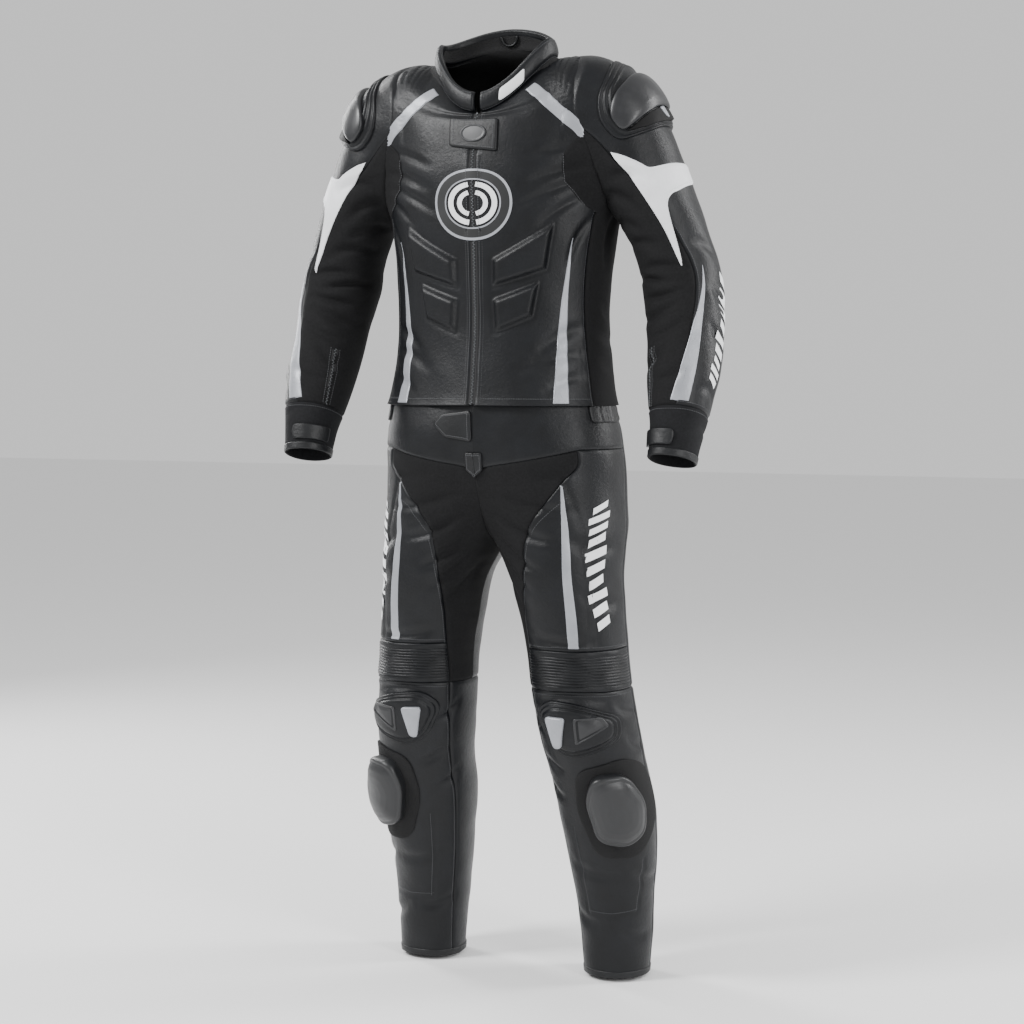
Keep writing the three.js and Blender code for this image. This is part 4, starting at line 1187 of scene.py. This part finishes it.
def make_collar():
    """An open padded band: rings of its section, which end rounded on both sides of the zip."""
    heights, lifts = finer(COLLAR_PROFILE, 4)
    turns = np.concatenate([[2.6, 2.9, 3.4, 4.2], np.linspace(5.5, 354.5, 220), [355.8, 356.6, 357.1, 357.4]])
    ends = smooth(np.minimum(turns - 2.6, 357.4 - turns) / 2.2 + 0.35)
    middle = heights.mean()
    at = middle + (heights[:, None] - middle) * (0.88 + 0.12 * ends)
    lift = lifts[:, None] * ends - 2.2 * (1 - ends)
    faces = grid_faces(*at.shape)
    piece = make_object("collar_roll", collar.place(LEFT, turns + 0 * at, at, lift), faces, BLACK_LEATHER)
    declare_grid(collar.place(LEFT, turns + 0 * at, at, lift, plain=True), faces)
    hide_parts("collar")
    lines = [(collar, LEFT, level(height, 6, 354, 80), out) for height, out in ((14, 3.0), (37, 2.6))]
    stitches("collar_stitching", lines)
    bar = [(20, 17), (44, 17), (46, 31), (22, 31)]
    patch("collar_bar", collar, MIDDLE, bar, [(1, 3.2), (0.97, 4.4), (0, 4.4)], PRINT_WHITE, rounding=3)


def make_neck_lining():
    turns = np.linspace(0, 360, 121)
    body = jacket.place(LEFT, turns, np.linspace(-200, 8, 36)[:, None], -4.5, plain=True)
    neck = collar.place(LEFT, np.clip(turns, 4, 356), np.linspace(13, 35, 6)[:, None], -8.8, plain=True)
    points = np.concatenate([body, neck])
    faces = grid_faces(*points.shape[:2])
    piece = make_object("neck_lining", points, faces, LINING)
    declare_grid(points, faces)
    loop = [collar.place(LEFT, 180 - 9 * math.cos(bend), 35 - 15 * math.sin(bend), -9.5 - 3 * math.sin(bend))
            for bend in np.linspace(0, math.pi, 24)]
    tube("hanging_loop", loop, 2.0, TRIM_LEATHER)


def make_neck_tab():
    patch("neck_tab_leather", jacket, MIDDLE, NECK_TAB,
          [(1, 0.2), (1, 2.2), (0.97, 3.2), (0.9, 3.4), (0, 3.4)], TRIM_LEATHER, ["neck_tab"],
          rounding=4, spacing=2)
    inner = [(turn * 0.82, -70 + (at + 70) * 0.86) for turn, at in NECK_TAB]
    stitches("neck_tab_stitching", [(jacket, LEFT, inner + inner[:1], 3.7)], pitch=3.2)
    circle = [(5.2 * math.cos(angle), -72 + 24 * math.sin(angle))
              for angle in np.linspace(0, 2 * math.pi, 24, endpoint=False)]
    patch("neck_tab_badge", jacket, MIDDLE, circle, [(1, 3.4), (0.98, 5), (0.86, 5.2), (0.82, 4.5), (0, 4.6)],
          BADGE, rounding=1, spacing=1.6)


def make_ring(name, inner, outer, start, end, material, lift):
    """A flat part of a ring on the chest, from shares of its radius and degrees from the top."""
    radii = ROUNDEL_RADIUS * np.linspace(inner, outer, max(int((outer - inner) * ROUNDEL_RADIUS / 4), 2))
    angles = np.radians(np.linspace(start, end, max(int((end - start) / 5), 3)))
    across = radii[:, None] * np.sin(angles)
    at = ROUNDEL_HEIGHT + radii[:, None] * np.cos(angles)
    points = jacket.place(LEFT, across / CHEST_PER_DEGREE, at, lift)
    make_object(name, points, grid_faces(*at.shape), material, flip=True)


def make_roundel():
    """A plain round print on the chest: a silver ring round two white ones, which the zip parts."""
    make_ring("roundel_rim", 0.93, 1, 0, 360, SILVER_LEATHER, 0.7)
    make_ring("roundel_ground", 0.70, 0.93, 0, 360, PRINT_BLACK, 0.6)
    make_ring("roundel_band", 0.66, 0.70, 0, 360, SILVER_LEATHER, 0.7)
    for i, (inner, outer, gap) in enumerate(((0.24, 0.36, 14), (0.46, 0.60, 8))):
        for word, top in (("left", 0), ("right", 180)):
            name = f"roundel_ring_{i}_{word}"
            make_ring(name, inner, outer, top + gap, top + 180 - gap, PRINT_WHITE, 0.7)


def printed_bars(name, surface, side, centre_line, width, lean, count):
    """Plain slanted bars printed along a line of turns and heights."""
    line = np.array(centre_line, dtype=float)
    steps = np.linspace(0, 1, len(line))
    points, faces = [], []
    for i in range(count):
        for k in (i + 0.5 - BAR_SHARE / 2, i + 0.5 + BAR_SHARE / 2):
            share = k / count
            turn, at = (np.interp(share, steps, line[:, j]) for j in range(2))
            half = width * BAR_WIDTHS[i % 3] / 2
            across = np.linspace(-half, half, 7)
            heights = at + lean * across / half
            points += [*surface.place(side, turn + across / surface.per_degree, heights, 0.55)]
        start = len(points) - 14
        faces += [(start + j, start + j + 1, start + j + 8, start + j + 7) for j in range(6)]
    make_object(name, points, faces, PRINT_WHITE, side * surface.outward < 0)


# Sleeves

def make_sleeves():
    front_seam = line_of(SLEEVE_FRONT_SEAM)
    sewn = {"seams": ("high", "start", "end"), "keep": outside_jacket}
    for word, side in SIDES.items():
        panel("sleeve_outer_shell", sleeve, word, SLEEVE_HEAD, CUFF_TOP, front_seam, SLEEVE_BACK_SEAM,
              BLACK_LEATHER, ["sleeve_outer"], spacing=4.2, **sewn)
        panel("sleeve_inner_shell", sleeve, word, SLEEVE_HEAD, CUFF_TOP, SLEEVE_BACK_SEAM - 360, front_seam,
              STRETCH_CLOTH, ["sleeve_inner"], spacing=4.5, **sewn)
        panel("cuff_shell", sleeve, word, CUFF_TOP, SLEEVE_END, -180, 180, CUFF_CLOTH, ["cuff"],
              spacing=4, seams=("low",), thickness=2)
        binding("cuff_binding", sleeve, word, SLEEVE_END - BINDING_HEIGHT, spacing=3, lift=1.2, thickness=2.4)
        stripe("forearm_stripe", sleeve, word, FOREARM_STRIPE)
        patch("cuff_strap_leather", sleeve, word, CUFF_STRAP,
              [(1, 0.4), (1, 2.6), (0.985, 3.4), (0.9, 3.6), (0, 3.6)], TRIM_LEATHER, ["cuff_strap"],
              rounding=5, spacing=2.4, centre=(-32, 546))
        make_white_panel(word, side)
        make_shoulder_armour(word)
        make_forearm_zip(word, side)
        printed_bars(f"forearm_bars_{word}", sleeve, side, FOREARM_BARS, 26, 5, 9)


def make_forearm_zip(word, side):
    """A short zip along the inside of each forearm."""
    path = [(-41 - 0.13 * (at - 410), at) for at in np.linspace(410, 498, 20)]
    zip_fastener(f"forearm_zip_{word}", sleeve, side, path, 0.4)
    edges = [(sleeve, side, [(turn + offset, at) for turn, at in path], 0.5) for offset in (-8, 8)]
    stitches(f"forearm_zip_stitching_{word}", edges)


def make_white_panel(word, side):
    turns = np.concatenate([np.arange(-4, 44, 1.5), np.arange(44, 140.1, 4)])
    low, high = read(WHITE_PANEL, "start", turns), read(WHITE_PANEL, "end", turns)
    shares = np.concatenate([[0, 0.0], np.linspace(0, 1, 34), [1.0, 1]])
    at = low + (high - low) * shares[:, None]
    lift = 1.6 * smooth(np.minimum(at - low, high - at) / 1.6)
    lift[0] = lift[-1] = -0.5
    faces = grid_faces(*at.shape)
    piece = make_object(f"white_panel_leather_{word}", sleeve.place(side, turns + 0 * at, at, lift), faces,
                        WHITE_LEATHER, side * sleeve.outward < 0)
    smooth_points = sleeve.place(side, turns + 0 * at, at, plain=True)
    width, length = np.ptp(turns) * sleeve.per_degree * MM, np.ptp(at) * MM
    declare_sheet(float(width), float(length), area_of(smooth_points, faces))
    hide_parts(f"white_panel_{word}")
    upper = [(turn, float(read(WHITE_PANEL, "start", turn)) + 4) for turn in np.linspace(0, 134, 50)]
    lower = [(turn, float(read(WHITE_PANEL, "end", turn)) - 4) for turn in np.linspace(6, 128, 70)]
    lines = [(sleeve, side, line, 1.9) for line in (upper, lower)]
    stitches(f"white_panel_stitching_{word}", lines, PRINT_WHITE)


def make_shoulder_armour(word):
    """A soft base with three stitched ridges, a hard shell on it and the vent under the shell."""
    ridges = [
        (1, 0.2), (0.985, 3.6), (0.955, 4.6), (0.925, 3.4), (0.9, 2.8), (0.885, 4.6), (0.855, 6.4),
        (0.825, 5.2), (0.8, 4.6), (0.785, 6.4), (0.755, 8.2), (0.73, 7.2), (0.7, 6.6), (0.4, 8), (0, 8),
    ]
    dome = [
        (1, 4), (1, 10.5), (0.985, 12.2), (0.955, 13.2), (0.9, 14.2), (0.8, 15.2), (0.6, 16.4), (0.35, 17.2),
        (0, 17.4),
    ]
    vent = [(1, 6), (1, 10), (0.94, 10.8), (0, 11)]
    vent_tip = [(1, 9), (1, 12), (0.9, 12.6), (0, 12.6)]
    patch("shoulder_armour_base", sleeve, word, SHOULDER_BASE, ridges, BLACK_LEATHER, ["shoulder_base"],
          rounding=16, spacing=1.8)
    patch("shoulder_armour_shell", sleeve, word, SHOULDER_SHELL, dome, ARMOUR_PLASTIC, ["shoulder_shell"],
          rounding=14, spacing=1.8)
    patch("shoulder_vent", sleeve, word, SHOULDER_VENT, vent, VENT_PLASTIC, rounding=3, spacing=1.8)
    patch("shoulder_vent_tip", sleeve, word, SHOULDER_VENT_TIP, vent_tip, SILVER_LEATHER, rounding=1.5,
          spacing=1.4)


# Trousers

def pleat_relief(turn, at):
    share = (at - PLEATS_BOTTOM) / (PLEATS_TOP - PLEATS_BOTTOM)
    wave = np.abs(np.sin(np.pi * PLEATS * (share + 0.006 * np.sin(turn / 9))))
    return 3.0 * wave ** 0.8 - 1.4


def make_trousers():
    crotch_seam = line_of(CROTCH_SEAM)
    for word, side in SIDES.items():
        panel("yoke_leather", leg, word, YOKE_BOTTOM, WAIST_OF_TROUSERS, inseam_turn, LEG_OUTER_SEAM,
              BLACK_LEATHER, ["hip_yoke"], spacing=4.5, seams=("low", "end"), shift=yoke_rise)
        panel("thigh_leather", leg, word, PLEATS_TOP, YOKE_BOTTOM, crotch_seam, LEG_OUTER_SEAM,
              BLACK_LEATHER, ["thigh_front"], spacing=4.2, shift=yoke_rise)
        panel("crotch_stretch", leg, word, PLEATS_BOTTOM, YOKE_BOTTOM, inseam_turn, crotch_seam,
              STRETCH_CLOTH, ["crotch_panel"], spacing=4.2, seams=("high", "low", "end"), shift=yoke_rise)
        panel("seat_leather", leg, word, PLEATS_BOTTOM, WAIST_OF_TROUSERS, LEG_OUTER_SEAM,
              lambda at: 180 - inseam_turn(at), BLACK_LEATHER, ["seat_back"], seams=("low", "start"),
              shift=yoke_rise)
        panel("knee_accordion", leg, word, PLEATS_BOTTOM, PLEATS_TOP, crotch_seam, LEG_OUTER_SEAM,
              BLACK_LEATHER, ["knee_pleats"], spacing=1.1, relief=pleat_relief)
        panel("shin_leather", leg, word, TROUSER_HEM, PLEATS_BOTTOM, crotch_seam, LEG_OUTER_SEAM,
              BLACK_LEATHER, ["shin_front"], spacing=4.2, seams=("high", "start", "end"))
        panel("calf_leather", leg, word, TROUSER_HEM, PLEATS_BOTTOM, LEG_OUTER_SEAM,
              lambda at: 360 + crotch_seam(at), BLACK_LEATHER, ["calf_back"], seams=("high", "start", "end"))
        stripe("thigh_stripe", leg, word, THIGH_STRIPE)
        binding("hem_binding", leg, word, TROUSER_HEM, spacing=4, lift=1.5, thickness=2.6)
        printed_bars(f"thigh_bars_{word}", leg, side, THIGH_BARS, 34, 6, 10)
        make_knee(word)


def make_knee(word):
    """A ridged cup with its silver insert and facet, and a hard slider on its loop pile below."""
    ridges = [
        (1, 0.2), (0.985, 3), (0.95, 4.4), (0.915, 3.2), (0.89, 2.8), (0.87, 4.8), (0.835, 6.2), (0.8, 5),
        (0.775, 4.8), (0.75, 7), (0.7, 9), (0.6, 10), (0.3, 11), (0, 11),
    ]
    insert = [(1, 6), (1, 13.4), (0.97, 14.6), (0.85, 15.6), (0, 16)]
    facet = [(1, 6), (1, 11.4), (0.95, 12.6), (0.86, 12.2), (0.8, 10.4), (0.4, 12), (0, 12.6)]
    backing = [(1, 0.2), (1, 1.8), (0.99, 2.8), (0.96, 3.2), (0, 3.2)]
    puck = [
        (1, 3.2), (1, 13), (0.99, 16), (0.965, 18.4), (0.93, 19.6), (0.9, 19.4), (0.87, 20), (0.82, 22.4),
        (0.72, 25.4), (0.55, 28.4), (0.35, 30.2), (0.15, 30.9), (0, 31),
    ]
    patch("knee_cup_leather", leg, word, KNEE_CUP, ridges, BLACK_LEATHER, ["knee_cup"], rounding=18,
          spacing=1.8)
    patch("knee_insert_silver", leg, word, KNEE_INSERT, insert, SILVER_LEATHER, ["knee_insert"], rounding=6,
          spacing=1.6)
    patch("knee_facet", leg, word, KNEE_FACET, facet, ARMOUR_PLASTIC, rounding=5, spacing=1.6)
    patch("slider_backing", leg, word, SLIDER_BASE, backing, LOOP_PILE, ["slider_base"], rounding=24,
          spacing=2.6)
    patch("slider_puck", leg, word, SLIDER, puck, SLIDER_PLASTIC, ["knee_slider"], rounding=18, spacing=1.6)


def hips_turn(across, at):
    """The turn on a leg's section at a distance from the suit's middle, on the front."""
    share = (np.abs(across) - read(LEG_SECTIONS, "apart", at)) / read(LEG_SECTIONS, "wide", at)
    power = read(LEG_SECTIONS, "square", at) / 2
    return np.degrees(np.sign(share) * np.arcsin(np.clip(np.abs(share) ** power, 0, 1)))


def hips_point(across, at):
    points = leg_point(hips_turn(across, at), at)
    points[..., 0] = np.maximum(points[..., 0], 0) * np.where(across < 0, -1, 1)
    return points


hips = Surface(hips_point, 1.0)
hips.forms = [lambda side, across, at: leg.relief(side, hips_turn(across, at), at)]


def adjuster_ridges(turn, at):
    return 0.7 * np.sin(turn * 1.1) * (turn > 72)


def make_waist_trim():
    """A short ridged strap on each hip, the waist strap and the fly tab."""
    for word in SIDES:
        patch("side_adjuster", leg, word, SIDE_ADJUSTER, [(1, 0.4), (1, 2.6), (0.97, 3.4), (0, 3.6)],
              TRIM_LEATHER, rounding=5, spacing=1.8, relief=adjuster_ridges)
    profile = [(1, 0.4), (1, 2.8), (0.96, 3.8), (0.85, 4.1), (0, 4.1)]
    tabs = [("waist_strap", WAIST_STRAP, -34, -535, 7, 2), ("fly_tab", FLY_TAB, 0, -591, 3, 1.6)]
    for name, outline, _, _, rounding, spacing in tabs:
        patch(f"{name}_leather", hips, MIDDLE, outline, profile, TRIM_LEATHER, [name], rounding=rounding,
              spacing=spacing)
    for name, outline, x, z, _, _ in tabs:
        inner = [(x + (across - x) * 0.82, z + (at - z) * 0.8) for across, at in outline]
        stitches(f"{name}_stitching", [(hips, LEFT, inner + inner[:1], 4.3)], pitch=3)


def make_topstitching():
    """Single rows beside the seams. Those of the stretch gusset stand a little higher."""
    gusset_edge = [(turn + (58 - turn) * 0.06, at - (at + 160) * 0.05) for turn, at in GUSSET[4:]]
    rows = [
        (jacket, parallel(SIDE_SEAM, -5, jacket.per_degree, -500, -120)),
        (leg, parallel(CROTCH_SEAM, 5, leg.per_degree, -868, -640)),
        (leg, parallel(CROTCH_SEAM, 5, leg.per_degree, -1385, -936)),
        (sleeve, parallel(SLEEVE_FRONT_SEAM, 5, sleeve.per_degree, 160, 496)),
        (leg, [(LEG_OUTER_SEAM - 3.5, at) for at in np.linspace(-1385, -520, 60)]),
        (leg, level(PLEATS_BOTTOM - 6, -48, 96)),
        (leg, level(PLEATS_TOP + 6, -40, 96)),
        (jacket, level(HEM_OF_JACKET + 10, 2, 64)),
        (leg, [(turn + 3, at) for turn, at in SHIN_SEAM[:3]]),
        (leg, [(turn, at + 5) for turn, at in SHIN_SEAM[2:5]]),
        (leg, [(turn - 3, at) for turn, at in SHIN_SEAM[4:]]),
        (sleeve, level(CUFF_TOP - 5, 14, SLEEVE_BACK_SEAM)),
        (sleeve, level(CUFF_TOP + 5, -170, 170, 60)),
    ]
    lines = []
    for side in SIDES.values():
        lines += [(surface, side, path, 0.4) for surface, path in rows]
        lines.append((jacket, side, gusset_edge, 1.6))
    stitches("panel_topstitching", lines)


# Stage, light and camera

def make_floor():
    bpy.ops.mesh.primitive_plane_add(size=30, location=(0, 0, (TROUSER_HEM - 6) * MM))
    floor = bpy.context.object
    floor.name = "floor"
    shader = Shader("pale_floor", (0.86, 0.86, 0.86), 0.8)
    floor.data.materials.append(shader.material)


def area_light(name, place, size, power):
    data = bpy.data.lights.new(name, "AREA")
    data.shape = "RECTANGLE"
    data.size, data.size_y = size
    data.energy = power
    light = bpy.data.objects.new(name, data)
    light.location = place
    light.rotation_euler = (Vector(CHEST) - Vector(place)).to_track_quat("-Z", "Y").to_euler()
    bpy.context.scene.collection.objects.link(light)


def make_lights():
    world = bpy.data.worlds.new("studio")
    world.use_nodes = True
    background = world.node_tree.nodes["Background"]
    background.inputs["Color"].default_value = (1, 1, 1, 1)
    background.inputs["Strength"].default_value = 0.82
    bpy.context.scene.world = world
    area_light("key", (-1.9, -1.9, 1.5), (0.8, 0.8), 130)
    area_light("fill", (2.8, -1.7, 0.4), (0.6, 2.2), 62)
    area_light("rim_left", (-2.3, 1.1, 0.6), (0.6, 2.4), 60)
    area_light("rim_right", (2.3, 1.3, 0.6), (0.6, 2.4), 66)


def make_camera():
    azimuth, elevation = math.radians(CAMERA_AZIMUTH), math.radians(CAMERA_ELEVATION)
    forward = Vector((-math.sin(azimuth) * math.cos(elevation), math.cos(azimuth) * math.cos(elevation),
                      -math.sin(elevation)))
    data = bpy.data.cameras.new("camera")
    data.lens = CAMERA_LENS
    data.sensor_width = 36
    camera = bpy.data.objects.new("camera", data)
    camera.location = Vector(CAMERA_TARGET) - forward * CAMERA_DISTANCE
    camera.rotation_euler = forward.to_track_quat("-Z", "Y").to_euler()
    bpy.context.scene.collection.objects.link(camera)
    bpy.context.scene.camera = camera


make_camera()
make_lights()
make_floor()
make_jacket()
make_front_zip()
make_shoulder_trim()
make_collar()
make_neck_lining()
make_neck_tab()
make_roundel()
make_sleeves()
make_trousers()
make_waist_trim()
make_topstitching()
